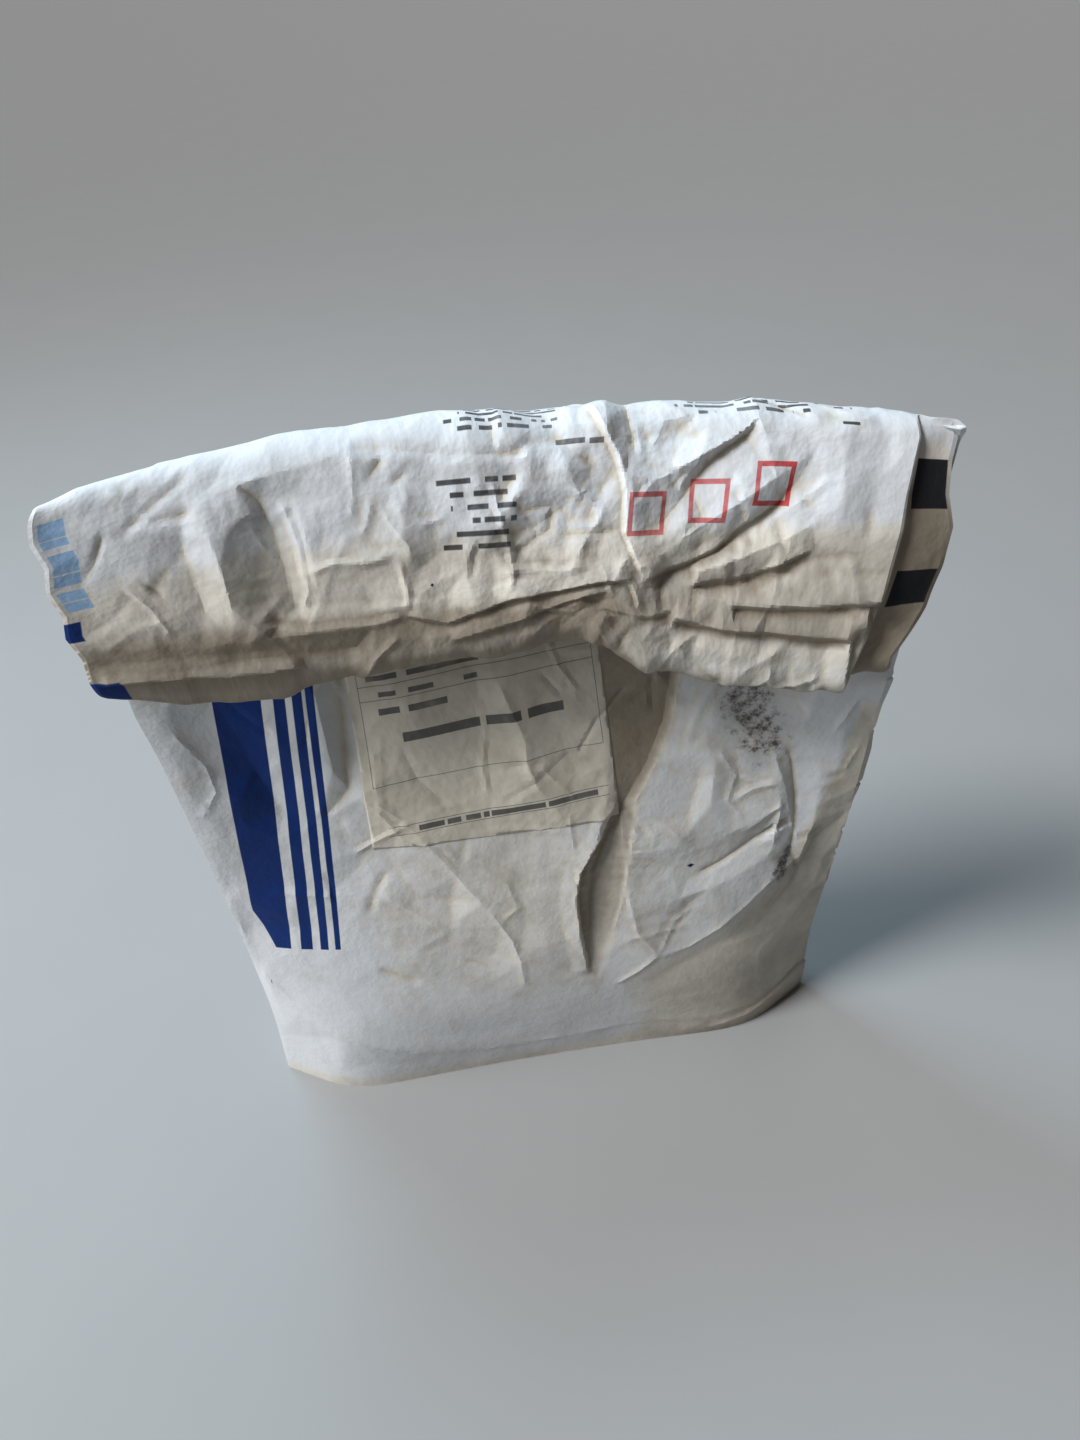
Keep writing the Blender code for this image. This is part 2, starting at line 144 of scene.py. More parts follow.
def smooth_sheet():
    """The outer surface's points, the way each one faces, and the paper's distance from the middle."""
    height = np.minimum(ALONG, RIDGE_FOLD_HEIGHT)
    rolling = ALONG > RIDGE_FOLD_HEIGHT
    turns = (RIDGE_FOLD_HEIGHT, FLAP_TOP, FLAP_FOOT, TUCK_FOOT, MOUTH)
    angle = np.radians(np.interp(ALONG, turns, (0.0, FLAP_START_ANGLE, FLAP_END_ANGLE, TUCK_START_ANGLE,
                                                TUCK_END_ANGLE)))
    middle = (angle[1:] + angle[:-1]) / 2
    y = LEAN_BACK * height / RIDGE_FOLD_HEIGHT
    y = (y + np.cumsum(np.concatenate([[0], -np.sin(middle) * MM]) * rolling))[:, None]
    z = (height + np.cumsum(np.concatenate([[0], np.cos(middle) * MM]) * rolling))[:, None]
    rolled = np.interp(ALONG, (FLAP_TOP, FLAP_FOOT), (0.0, 1.0))[:, None]
    half_depth = np.where(rolling, np.interp(ALONG, turns[:4], ROLL_HALF_DEPTHS),
                          smooth_curve(HALF_DEPTHS, height))[:, None]
    steep, sharp, gather, bow = (smooth_curve(knots, height)[:, None]
                                 for knots in (STEEPNESS, SHARPNESS, GATHERS, BOWS))
    skew = BASE_SKEW * (1 - ease(height / MIDDLE_HEIGHT))[:, None]
    droop = END_DROOP * rise(height, MIDDLE_HEIGHT, RIDGE_FOLD_HEIGHT - MIDDLE_HEIGHT)[:, None]
    stand_off = np.where(rolling[:, None], np.maximum(LEAN_BACK - y, 0.0), 0.0)

    def rounded(climb):
        return climb / (1 + climb**sharp) ** (1 / sharp)

    side = np.linspace(-1.0, 1.0, HALF + 1)[None, :]
    depth = half_depth * rounded(steep * (1 - abs(side))) / rounded(steep)
    shift = skew * side - bow * abs(side) ** BOW_POWER + stand_off * END_PINCH * abs(side) ** 3
    run = np.sqrt(np.maximum(MM**2 - np.diff(depth, axis=1) ** 2 - np.diff(shift, axis=1) ** 2, 0.0))
    x = np.concatenate([np.zeros_like(y), np.cumsum(run, axis=1)], axis=1)
    x = (x - x[:, HALF // 2][:, None]) * (1 - (gather + FLAP_GATHER * rolled)) + FLAP_SHIFT * rolled

    layer = np.where(ACROSS <= TUBE_WIDTH, 1.0, -1.0)[None, :]
    side, depth, shift, x = (both_layers(np.broadcast_to(part, x.shape)) for part in (side, depth, shift, x))
    front_y, front_z = -np.cos(angle)[:, None], -np.sin(angle)[:, None]
    slant = FLAP_SLANT * rolled * side
    slant_angle = math.radians(FLAP_END_ANGLE)
    points = np.stack([
        x,
        y + shift + front_y * depth * layer - math.sin(slant_angle) * slant,
        z - droop * abs(side) ** 4 + front_z * depth * layer + math.cos(slant_angle) * slant,
    ], axis=-1)
    facing = facing_of(points)
    return points + facing * PAPER, facing, depth


def facing_of(points):
    """Unit normals of a lattice of points that joins itself along its first and last column."""
    wrapped = np.concatenate([points[:, -2:-1], points, points[:, 1:2]], axis=1)
    normal = np.cross(wrapped[:, 2:] - wrapped[:, :-2], np.gradient(points, axis=0))
    return normal / (np.linalg.norm(normal, axis=-1, keepdims=True) + 1e-12)


BARE, FACING, ROOM = smooth_sheet()
print("lattice:", BARE.shape, "lowest", BARE.min((0, 1)).round(4), "highest", BARE.max((0, 1)).round(4))

# %% [markdown]
# ## Creases
#
# A crumpled sheet can be drawn as a net of points with a height each, joined into triangles: every triangle
# is one flat facet, and every edge a crease. Sculpting could give the same, but a net says in a few numbers
# where each fold of the real sack runs. The folds that can be made out are listed. Between them,
# seeded points fill the sheet, close together and high on the handled flap, far apart and low on the body,
# and hardly there where the mix presses the paper smooth.
#
# Each fold is a row of a table. A place in it is written as millimetres round the tube, millimetres along
# it, and the height in millimetres that the paper stands out there.


# %% The folds of the flap
def table(text):
    """Rows of places, one row a line, with the numbers of each place joined by commas."""
    rows = [row.split() for row in text.strip().splitlines()]
    return [[tuple(map(float, place.split(","))) for place in row] for row in rows]


FLAP_FOLDS = table("""
830,490,1 800,486,2.4 770,482,2.8 742,478,3.2 702,483,3.2 670,487,3.2 641,488,3 622,489,2
858,494,1.5 835,500,2 822,504,1.5
823,514,0 821,545,0
845,530,0.5 838,548,1.5
809,509,4.2 807,530,4.8 807,552,3
800,505,3 788,499,1
784,493,-1.2 780,510,-4.2 778,529,-5 777,549,-3
768,494,0.5 765,512,1 764,530,1 764,548,0.5
745,498,1.8 741,515,1.2 740,532,1.8 740,548,0.5
722,490,2.2 717,510,2.8 716,530,3 716,548,2.5
704,496,0.8 702,515,1 700,538,1
862,560,0.5 828,564,1 799,562,2.2 773,561,2.5 745,560.5,2.5 722,559,2.5 705,552,3 690,549,3.2 668,546,3.2 \
650,543,3.2 636,540,3
850,577,-0.5 812,574,-1 780,572,-1 748,571,-0.8
740,577,1 714,575,1.5 690,572,2.2 662,569,2.5 645,562,2.2 636,557,1.8
682,494,1.8 678,515,2.4 677,532,1
664,498,1.5 662,512,1.8
652,519,-1.8 650,527,-1.5
640,500,1.2 630,506,-1 622,516,0.5
640,530,1.4 620,531,1.6
618,478,2 611,490,2.4 604,505,2.6 602,520,2.6 598,532,2.4 592,541,1.6
606,484,-2 592,480,-2.6 578,475,-2.2 562,470,-1.5
600,503,1.5 588,499,2.4 572,491,3 558,484,3 545,476,2 532,468,0
586,518,-1.6 578,508,-1.8 568,494,-1.5 552,482,-0.8
584,530,1.5 566,520,2.4 548,509,2.8 534,500,2 518,489,0.4
584,543,-1.5 570,539,-3 557,533,-3.6 545,524,-3.6 534,514,-3 524,504,-1.5
566,540,1.5 545,534,2.4 524,526,2.4 508,516,1.5
575,547,-1 560,547,-1.5 540,545,-1.5 523,541,-1.5 505,533,-0.8
560,551,1.5 540,551,2 506,550,2 470,547,2
585,558,1 566,560,1.5 540,560.5,2 510,561,2 476,561,2
590,575,1.5 560,577,0.5 530,578,0.8 500,579,0.5 475,580,1
608,556,1.5 600,565,2 595,575,1.5
507,481,2 503,490,2 500,508,2.5 500,524,1.5
488,470,0.8 485,500,0.2 484,530,1
""")

# %% The folds of the body
BODY_FOLDS = table("""
317,340,0 313,312,0 309,279,0 299,252,0 287,229,0.5 286,206,0.5 284,178,0.5 279,148,0.5 270,118,0.3 \
258,85,0
312,340,-3 308,312,-3 304,281,-3 294,254,-2.6 281,231,-2 268,206,-3 258,180,-3.4 254,150,-3.4 253,118,-2.8 \
254,92,-1
276,206,-2 270,180,-2.4 265,150,-2.4 260,118,-1.6
262,332,1 265,310,1 267,286,1 268,250,1 268,234,1 260,204,2 247,182,2.2 243,162,2.2 245,131,2 250,91,0
286,205,1 283,161,1 288,123,1.5 303,101,2.2
303,101,2.2 318,126,-0.6 324,140,-1
303,101,2.2 285,86,1.2 270,76,0
303,101,2.2 325,104,1.4 348,116,1.4 368,133,1.6 393,156,1.6
275,52,-0.6 310,68,-1.8 345,80,-2.6 380,102,-2.8 406,136,-2.6 420,180,-1.8
322,160,-0.8 330,165,-1.8 347,172,-2 369,187,-2 394,201,-2
318,148,0.8 345,155,1.2 370,166,1.2 390,178,1
378,248,1 384,228,1.5 386,206,1.8 384,184,1.5 382,160,1
384,262,-0.4 392,240,-1.6 397,215,-2 401,188,-2 399,168,-1 397,150,0.6
409,250,1.6 413,222,1.8 414,194,1.8 408,165,1
401,305,3 396,285,3 392,268,1
322,258,1 338,251,2.2 336,222,1.8 314,190,1
328,240,-0.5 322,215,-0.5
421,300,2 421,280,2.2 423,238,3
116,253,1 138,231,1.5 155,206,2 172,178,2.2 184,161,2.2 198,133,2.2 203,111,1.6 204,80,0
200,196,0.6 207,172,1.2 210,146,0.6
186,122,-0.8 169,110,-0.8 138,96,0
241,195,1.5 246,164,1.2
204,322,0.8 208,311,2 212,290,2.4 222,255,2.4 237,226,1.8
193,325,-0.8 194,306,-1.4 195,269,-1.4
232,300,-1 246,262,-1
116,338,-6 112,303,-6 108,272,-3 107,257,-1
100,322,2 100,272,1.8
48,305,-1.5 54,272,-3 62,245,-2
38,262,1.8 34,230,1.5
14,325,2 20,280,1.5 12,230,1.5
4,100,1.8 30,76,2.6 78,52,2.4 112,40,1.6 180,28,0.9 248,20,0.6
345,11,-0.1 380,17,-0.1 410,25,-0.1 438,33,-0.1
345,7.5,0.7 380,13,1.2 410,21,1.5 438,29,1.6
""")

# %% Sharp creases: each row has the height and the reach to either side, then the places
SHARP_CREASES = table("""
1.2,3 798,561 792,557 773,560 755,559 737,560 719,557
1.4,3 719,557 718,545 720,534 723,528
0.8,2.5 728,503 724,511 715,524 714,530
0.7,2.5 717,495 712,506
1.2,3 767,533 755,529 737,530 724,528
1.3,3 774,494 772,504 769,519 769,532 768,541 774,553
0.7,2.5 791,502 787,514 779,529
0.8,3 730,498 736,514 742,519
1.3,3 673,495 670,510 665,527 663,538 665,550
1.1,3 645,492 630,505 621,510
1.1,3 641,488 630,505 636,512
0.9,2.5 640,503 629,505 624,500
1.4,3.5 672,540 661,538 638,539 618,536
1,2.5 619,536 614,542 614,546 609,557
-0.8,2.5 590,532 580,528 577,524
-0.7,2.5 585,507 583,503 577,495
-1.2,3.5 639,523 623,523 612,522 606,520
-0.9,3 734,493 726,484 721,480
-0.9,3 724,497 711,487
-1.1,4 743,477 723,478 693,484 645,487 620,491
0.8,2.5 774,566 775,574
0.8,2.5 757,565 760,571
-1,3 660,511 643,510 644,520 658,528 662,536
-1,3 558,505 555,500 554,495
0.8,2.5 518,572 513,589
1,2.5 528,588 518,582 515,578
0.9,2.5 589,572 581,567 574,564
1,2.5 580,584 575,577 572,572 559,563
0.8,2.5 572,572 561,579
-1,2.5 573,545 571,551 573,560
1,2.5 601,545 596,554 595,559
0.6,2.5 491,571 488,590
0.5,3.5 116,253 138,231 155,206 172,178 184,161
0.6,3.5 184,161 198,133 203,111 204,86
0.6,2.5 182,190 199,178 204,158 192,149
0.5,2.5 172,204 191,192 209,180
0.45,2.5 6,112 28,86 60,67 112,36
0.4,2.5 112,36 171,24 224,23 296,27 345,20 380,24 425,40
0.6,2.5 277,222 280,178 276,148 270,126
0.7,3 284,205 280,161 287,123 303,101
0.8,3 303,101 288,88 270,76
0.6,3 303,101 314,128 329,139
-0.7,2.5 388,254 397,218 401,188 399,165
0.9,3.5 205,318 209,308 219,278 219,261 224,247 229,240
0.8,3 193,309 195,286 191,262 193,241
0.8,3 113,252 125,236 134,220 144,215 160,210 170,197
-0.8,3.5 143,282 150,259 167,238
0.7,3 132,289 129,267 125,236
0.5,2.5 224,227 223,213
0.5,2.5 243,229 243,214 246,192
0.7,2.5 273,226 262,217
0.8,3 413,265 428,295
0.8,3 427,236 436,261
0.7,3 13,318 25,288 25,269 8,250
0.4,2.5 302,98 325,104 348,116 368,133 393,156
-0.8,3 330,165 347,172 369,187 394,201
0.9,3 376,255 387,229 396,199 405,180
0.7,3 276,222 263,204 248,182 244,162 246,131
0.7,3 338,262 352,240 348,222 360,205
0.6,3 352,240 372,232 387,229
""")

# %% Edges of pleats that overlap like shingles: each row has the height of the edge, then the places.
# The paper drops on the right of one who walks along them.
PLEAT_EDGES = table("""
2.2 625,466 618,480 612,489 609,498 607,506 606,523 601,532 594,544
1.3 602,545 597,553 595,560
2.4 720,557 698,564 680,559 662,553 638,551 617,546 600,544
2 697,575 662,569 640,562 612,553
2.2 596,544 587,541 570,536 559,531 548,521 539,515 528,507
1.8 572,547 560,544 538,541 523,536 508,529
2.8 549,552 530,552 506,551 487,550 464,548
1.5 543,561 547,551
2.8 577,559 560,561 544,561 515,561 474,562
2.4 470,563 474,549
2.8 467,604 471,585 478,561
1.5 618,568 600,562 574,556
1.8 251,91 246,131 244,162 248,182 262,204 274,232
3 884,579 850,580 820,581 795,580 778,578
""")


# %% Nets of facets
SEED = 7
CREASE_SPACING = 7.0
FLAP_RELIEF, BODY_RELIEF = 1.3, 1.0
END_FADE = 6.0                          # over which a sharp crease dies away, in millimetres
PLEAT_CLIMB, PLEAT_DROP, PLEAT_FOOT = 12.0, 2.0, 9.0
PLEAT_UNDERCUT = -0.35                  # of the edge's height
NET_CROWDING = 0.55                     # of the spacing: filling points stay this far from drawn ones
NET_JITTER = 0.38                       # of the spacing
SAME_PLACE, TINY = 1e-4, 1e-6           # closer points are one, and less than this counts as nothing
ROUND, UP = np.meshgrid(ACROSS / MM, ALONG / MM)


def drawn_points(folds):
    """Points along the listed folds, close enough together to hold each crease as an edge."""
    points = []
    for fold in folds:
        for start, end in zip(fold, fold[1:]):
            start, end = np.array(start), np.array(end)
            count = max(1, round(np.linalg.norm((end - start)[:2]) / CREASE_SPACING))
            points += [start + (end - start) * share / count for share in range(count)]
        points.append(np.array(fold[-1]))
    points = np.array(points)
    points[:, 2] *= np.where(points[:, 0] > HALF, FLAP_RELIEF, BODY_RELIEF)
    return points


def filling_points(spacing, height_of, taken, seed):
    """Seeded points over the whole sheet, each with a height up to what height_of allows there."""
    draw = np.random.default_rng(seed)
    columns, rows = round(ACROSS[-1] / MM / spacing), round(ALONG[-1] / MM / spacing)
    x, y = np.meshgrid(np.arange(-1, columns + 2) * spacing, np.arange(-1, rows + 2) * spacing)
    x[::2] += spacing / 2
    x, y = (part.ravel() + draw.uniform(-NET_JITTER, NET_JITTER, part.size) * spacing for part in (x, y))
    height = draw.uniform(-1.0, 1.0, x.size) * height_of(x, y)
    points = np.stack([x, y, height], axis=1)
    if len(taken):
        apart = np.linalg.norm(points[:, None, :2] - taken[None, :, :2], axis=2).min(axis=1)
        points = points[apart > NET_CROWDING * spacing]
    return points


def facets(points):
    """Heights over the lattice of a net whose every three neighbours are joined by a flat facet."""
    heights = np.zeros(ROUND.shape)
    net = delaunay_2d_cdt([Vector(point[:2]) for point in points], [], [], 0, SAME_PLACE)
    for face in net[2]:
        a, b, c = (points[net[3][corner][0]] for corner in face)
        low = np.maximum(np.ceil(np.minimum(np.minimum(a, b), c)[:2]), 0).astype(int)
        high = np.maximum(np.maximum(a, b), c)[:2].astype(int) + 1
        box = (slice(low[1], high[1]), slice(low[0], high[0]))
        x, y = ROUND[box], UP[box]
        area = (b[0] - a[0]) * (c[1] - a[1]) - (c[0] - a[0]) * (b[1] - a[1])
        if abs(area) < TINY or x.size == 0:
            continue
        share_b = ((x - a[0]) * (c[1] - a[1]) - (c[0] - a[0]) * (y - a[1])) / area
        share_c = ((b[0] - a[0]) * (y - a[1]) - (x - a[0]) * (b[1] - a[1])) / area
        inside = (share_b >= -TINY) & (share_c >= -TINY) & (share_b + share_c <= 1 + TINY)
        value = a[2] + share_b * (b[2] - a[2]) + share_c * (c[2] - a[2])
        heights[box][inside] = value[inside]
    return heights


def near_line(points, reach):
    """The lattice round a line of places: distance, distance to its right-hand side, fade at its ends."""
    points = np.array(points)
    low = np.maximum(np.floor(points.min(0) - reach), 0).astype(int)
    high = np.ceil(points.max(0) + reach).astype(int) + 1
    box = (slice(low[1], high[1]), slice(low[0], high[0]))
    lengths = np.linalg.norm(np.diff(points, axis=0), axis=1)
    far = np.full(ROUND[box].shape, np.inf)
    right, run = np.zeros_like(far), np.zeros_like(far)
    for start, end, length, before in zip(points, points[1:], lengths, np.cumsum([0, *lengths])):
        way = (end - start) / length
        x, y = ROUND[box] - start[0], UP[box] - start[1]
        along = np.clip(x * way[0] + y * way[1], 0, length)
        x, y = x - along * way[0], y - along * way[1]
        nearer = np.hypot(x, y) < far
        far[nearer] = np.hypot(x, y)[nearer]
        right[nearer] = (x * way[1] - y * way[0])[nearer]
        run[nearer] = (before + along)[nearer]
    return box, far, right, np.clip(np.minimum(run, lengths.sum() - run) / END_FADE, 0, 1)


def sharp_creases(creases):
    """Narrow roofs along lines."""
    heights = np.zeros(ROUND.shape)
    for (height, reach), *points in creases:
        box, far, _, fade = near_line(points, reach)
        heights[box] += height * np.clip(1 - far / reach, 0, 1) * fade
    return heights


def pleat_edges(edges):
    """Slopes that climb to an edge, drop over it and climb back."""
    heights = np.zeros(ROUND.shape)
    for (height,), *points in edges:
        box, far, right, fade = near_line(points, PLEAT_CLIMB)
        profile = np.interp(right, (-PLEAT_CLIMB, 0, PLEAT_DROP, PLEAT_FOOT), (0, 1, PLEAT_UNDERCUT, 0))
        heights[box] += height * profile * fade * np.clip((PLEAT_CLIMB - far) / 2, 0, 1)
    return heights


def stray_creases(count, region, lengths, seed):
    """Seeded straight creases, long and short, over a region of left, right, low and high."""
    draw = np.random.default_rng(seed)
    left, right, low, high = region
    for _ in range(count):
        middle = np.array([draw.uniform(left, right), draw.uniform(low, high)])
        turn = draw.uniform(0, math.pi)
        half = draw.uniform(*lengths) / 2 * np.array([math.cos(turn), math.sin(turn)])
        bend = draw.uniform(-0.15, 0.15) * np.array([-half[1], half[0]])
        height = draw.uniform(0.4, 1.2) * draw.choice((-1, 1))
        yield (height, draw.uniform(2.5, 5)), middle - half, middle + bend, middle + half


def softened(values, passes):
    """Values averaged with their neighbours, which rounds each crease a little."""
    for _ in range(passes):
        for axis in (0, 1):
            before, after = np.roll(values, 1, axis), np.roll(values, -1, axis)
            ends = [slice(None), slice(None)]
            for end in (0, -1):
                ends[axis] = end
                before[tuple(ends)] = after[tuple(ends)] = values[tuple(ends)]
            values = (before + 2 * values + after) / 4
    return values


# %% How crumpled each part is, with places in millimetres on the flat sheet
def on_flap(x, y):
    """1 on the flap's outer face and its lower fold, 0 elsewhere."""
    return rise(x, 436, 14) * rise(y, 446, 20) * rise(y, 625, -20)


def busy(x, y):
    """1 where the flap was gripped and twisted most, falling to a quarter at its smoother ends."""
    return 0.25 + 0.75 * np.exp(-((x - 590) / np.where(x < 590, 78, 115)) ** 4)


def broad_height(x, y):
    """Height of the hand-sized facets, in millimetres."""
    body = rise(y, 88, 50) * np.where(x > HALF, 2.6, 1.2) * rise(y, 455, -20)
    return (0.8 + 1.6 * busy(x, y)) * on_flap(x, y) + body + 0.5 * (y > 455) * (1 - on_flap(x, y))


def fine_height(x, y):
    """Height of the fingertip-sized facets, in millimetres."""
    body = (0.05 + 0.25 * rise(y, 80, 60)) * np.where(x > HALF, 1.3, 1.0) * rise(y, 455, -20)
    return 2.1 * on_flap(x, y) * busy(x, y) + body + 0.15 * (y > 455) * (1 - on_flap(x, y))


# %% Crumple the flat sheet
# How many stray creases, over which region, and how short and long: the flap's middle, its left, the
# body's front, the label and the back.
STRAYS = ((75, (470, 740, 462, 600), (10, 40)), (14, (740, 870, 462, 575), (15, 50)),
          (36, (60, 430, 110, 345), (15, 55)), (14, (125, 268, 220, 372), (20, 60)),
          (60, (450, 880, 100, 430), (20, 80)))
BROAD_SPACING, FINE_SPACING = 25.0, 11.0
drawn = drawn_points(FLAP_FOLDS + BODY_FOLDS)
broad = np.concatenate([drawn, filling_points(BROAD_SPACING, broad_height, drawn, SEED)])
fine = filling_points(FINE_SPACING, fine_height, (), SEED + 1)
strays = [crease for count, *where in STRAYS for crease in stray_creases(count, *where, SEED + count)]
FOLDED = facets(broad) + facets(fine) + sharp_creases(SHARP_CREASES) + sharp_creases(strays)
FOLDED += pleat_edges(PLEAT_EDGES)
CREASED = sum(abs(np.gradient(np.gradient(FOLDED, axis=axis), axis=axis)) for axis in (0, 1))
print("net points:", len(drawn), "drawn,", len(broad) - len(drawn), "broad,", len(fine), "fine;",
      len(strays), "stray creases")

# %% [markdown]
# ## Larger moves of the roll
#
# Some forms are more than a crease. The flap's lower edge rises in the middle and hangs low on the right,
# its right end stops short of the tube's own crease and leaves a narrow strip set back behind it, a second
# turn of paper shows below it on the left, and the side creases wander. Both layers of the tube take part,
# so these are moves of the whole roll.

# %% Where the roll hangs lower, stands back or wanders, in rows of place and value in millimetres
# How far the flap's lower edge drops and how far the second turn shows, across; how far the right and the
# left side crease wander, along.
EDGE_DROP, SECOND_TURN, RIGHT_WANDER, LEFT_WANDER = table("""
0,0 20,0 80,2 129,4 206,-7 226,-9 245,-12 262,-15 274,-13 296,3 338,11 394,13 415,9 430,2 443,0
0,0 14,3 36,9 60,12 90,11 108,5 130,0 443,0
455,0 472,-7 490,-6 505,-2 520,6 537,8 556,7 578,-1 600,0
300,0 330,1.5 380,-1 430,1 470,-2.5 490,1 505,-1.5 520,2.5 535,0 548,3.5 562,1 578,4 600,0
""")


def follow(row, at):
    """The value of a row at a place, straight between its own places."""
    return np.interp(at, *np.array(row).T)


def roll_moves():
    """Moves in metres of both layers, worked out from the left-hand crease to the right-hand one."""
    side = np.arange(HALF + 1.0)[None, :]
    row = (ALONG / MM)[:, None]
    moves = np.zeros((len(ALONG), HALF + 1, 3))
    moves[..., 2] -= rise(row, 535, 45) * rise(row, 668, -70) * follow(EDGE_DROP, side)
    moves[..., 2] -= rise(row, 583, 5) * rise(row, 616, -12) * follow(SECOND_TURN, side)
    moves[..., 1] += (6.5 * rise(side, 417, 4) * rise(row, 604, -14)
                      + 5 * rise(side, 420, 26) * rise(row, 575, -30)) * rise(row, 458, 16)
    moves[..., 0] += rise(side, 405, 38) * follow(RIGHT_WANDER, row)
    moves[..., 0] -= rise(side, 38, -38) * follow(LEFT_WANDER, row)
    return both_layers(moves) * MM


# %% How deep a crease may go, in metres unless a line says otherwise
FOOT_FADE, SEAM_FADE = 0.006, 0.010     # over which creases die away at the foot and at the seam
SPARE = 0.004                           # how far the flap's hidden layer moves out of the way
MIX_TOP = 96                            # millimetres along: the mix holds the paper out below it
HELD_DEPTH, FREER = 0.35, 0.12          # millimetres deep at the mix, and more for each millimetre above it
ROOM_SHARE, LEAST_DEPTH = 0.8, 1e-5     # of the room between the layers, and where there is none


def kept_clear(heights):
    """Heights in metres that keep the layers apart and the paper outside the mix."""
    heights = heights * MM * ease(ALONG / FOOT_FADE)[:, None]
    heights[:, -1] = heights[:, 0]
    heights = heights * ease(np.minimum(ACROSS, ACROSS[-1] - ACROSS) / SEAM_FADE)
    front = ROUND < HALF
    inner = np.where(front, rise(UP, 455, 15) * rise(UP, 612, -15) * ease(ROOM / SPARE), 0.0)
    spare = SPARE * both_layers(inner[:, :HALF + 1])
    held = (HELD_DEPTH + np.maximum(UP - MIX_TOP, 0) * FREER) * MM
    deepest = np.minimum(ROOM * ROOM_SHARE + spare, held) + LEAST_DEPTH
    kept = np.where(heights < 0, -deepest * np.tanh(-heights / deepest), heights)
    return np.where(front, kept + spare, kept)


LIFT = kept_clear(FOLDED)
SHEET = BARE + FACING * LIFT[..., None] + roll_moves()
SHEET[0, :, 2] = 0.0
SHEET[..., 2] = np.maximum(SHEET[..., 2], 0.0)
SHEET_FACING = facing_of(SHEET)
print("crumpled sheet:", SHEET.min((0, 1)).round(4), SHEET.max((0, 1)).round(4))

# %% [markdown]
# ## Cutting meshes from the sheet
#
# A mesh starts as a flat grid, one square of which is about 5.9 mm of paper. The squares of the flap are
# cut into sixteen, those of the body's front into nine, and those of the back into four, so that the fine
# facets have points to sit on while the hidden inner turns stay light. Points near a crease slide onto it.
# Then each point is carried from its place on the flat sheet to its place in space. The flat place stays
# as the UV map, in metres, and the print is drawn there.

# %% A grid that is finer where it is seen
COLUMNS, ROWS = 150, 114
FLAP_CUTS, FRONT_CUTS, BACK_CUTS = 3, 2, 1
SEEN_FROM, SEEN_TO = 70, 345            # of the body's front, in millimetres along
FLAP_FROM, FLAP_TO = 446, 602
OUTER_LAYER, PAST_SEAM = 436, 5         # round: the flap's outer layer, and a little past the seam
SIDE, FRONT_END, BACK_END = 14, 446, 870
SHARP_CREASE = 14.0                     # degrees from which an edge is drawn sharp
SLIDE_REACH = 0.42                      # of a point's shortest edge
SLIDE_TURNS, SLIDE_SHARES = 16, (0.35, 0.7, 1.0)
FAR_COST = 0.25                         # what a place at full reach counts less
LEAST_CREASE, HELD_CREASE = 0.02, 0.22  # how bent the paper is where a point slides, and where it is held


def flat_grid():
    """The whole sheet as a flat bmesh whose x and y are metres round and along the tube."""
    mesh = bmesh.new()
    bmesh.ops.create_grid(mesh, x_segments=COLUMNS, y_segments=ROWS, size=0.5)
    for point in mesh.verts:
        point.co = Vector(((point.co.x + 0.5) * ACROSS[-1], (point.co.y + 0.5) * ALONG[-1], 0.0))
    flap, front, back = [], [], []
    for edge in mesh.edges:
        x, y = ((edge.verts[0].co + edge.verts[1].co) / 2 / MM)[:2]
        if (x > OUTER_LAYER or x < PAST_SEAM) and FLAP_FROM < y < FLAP_TO:
            flap.append(edge)
        elif SIDE < x < FRONT_END and SEEN_FROM < y < SEEN_TO:
            front.append(edge)
        elif y <= FLAP_FROM or x < SIDE or x > BACK_END:
            back.append(edge)
    for edges, cuts in ((flap, FLAP_CUTS), (front, FRONT_CUTS), (back, BACK_CUTS)):
        bmesh.ops.subdivide_edges(mesh, edges=edges, cuts=cuts, use_grid_fill=True)
    held = slide_to_creases(mesh)
    crowded = [face for face in mesh.faces if len(face.verts) > 4]
    bmesh.ops.triangulate(mesh, faces=crowded)
    bmesh.ops.connect_verts(mesh, verts=held)
    return mesh


def slide_to_creases(mesh):
    """Slide each point of the grid a little, to the sharpest crease in reach, and give those on one."""
    inner = [point for point in mesh.verts if not point.is_boundary]
    flat = np.array([point.co.xy for point in inner])
    shortest = [min(edge.calc_length() for edge in point.link_edges) for point in inner]
    reach = np.array(shortest) * SLIDE_REACH
    best = read(CREASED, flat) + LEAST_CREASE
    chosen = flat.copy()
    for turn in np.arange(SLIDE_TURNS) * 2 * math.pi / SLIDE_TURNS:
        for share in SLIDE_SHARES:
            way = np.array([math.cos(turn), math.sin(turn)])
            tried = flat + way * reach[:, None] * share
            value = read(CREASED, tried) * (1 - FAR_COST * share)
            better = value > best
            best[better] = value[better]
            chosen[better] = tried[better]
    for point, place in zip(inner, chosen):
        point.co.xy = place
    return [point for point, value in zip(inner, best) if value > HELD_CREASE]


def read(lattice, flat):
    """Values of a lattice at flat places in metres, blended between the four nearest points."""
    x, y = flat[:, 0] / ACROSS[1], flat[:, 1] / ALONG[1]
    column = np.clip(x.astype(int), 0, lattice.shape[1] - 2)
    row = np.clip(y.astype(int), 0, lattice.shape[0] - 2)
    x, y = x - column, y - row
    if lattice.ndim == 3:
        x, y = x[:, None], y[:, None]
    return ((lattice[row, column] * (1 - x) + lattice[row, column + 1] * x) * (1 - y)
            + (lattice[row + 1, column] * (1 - x) + lattice[row + 1, column + 1] * x) * y)


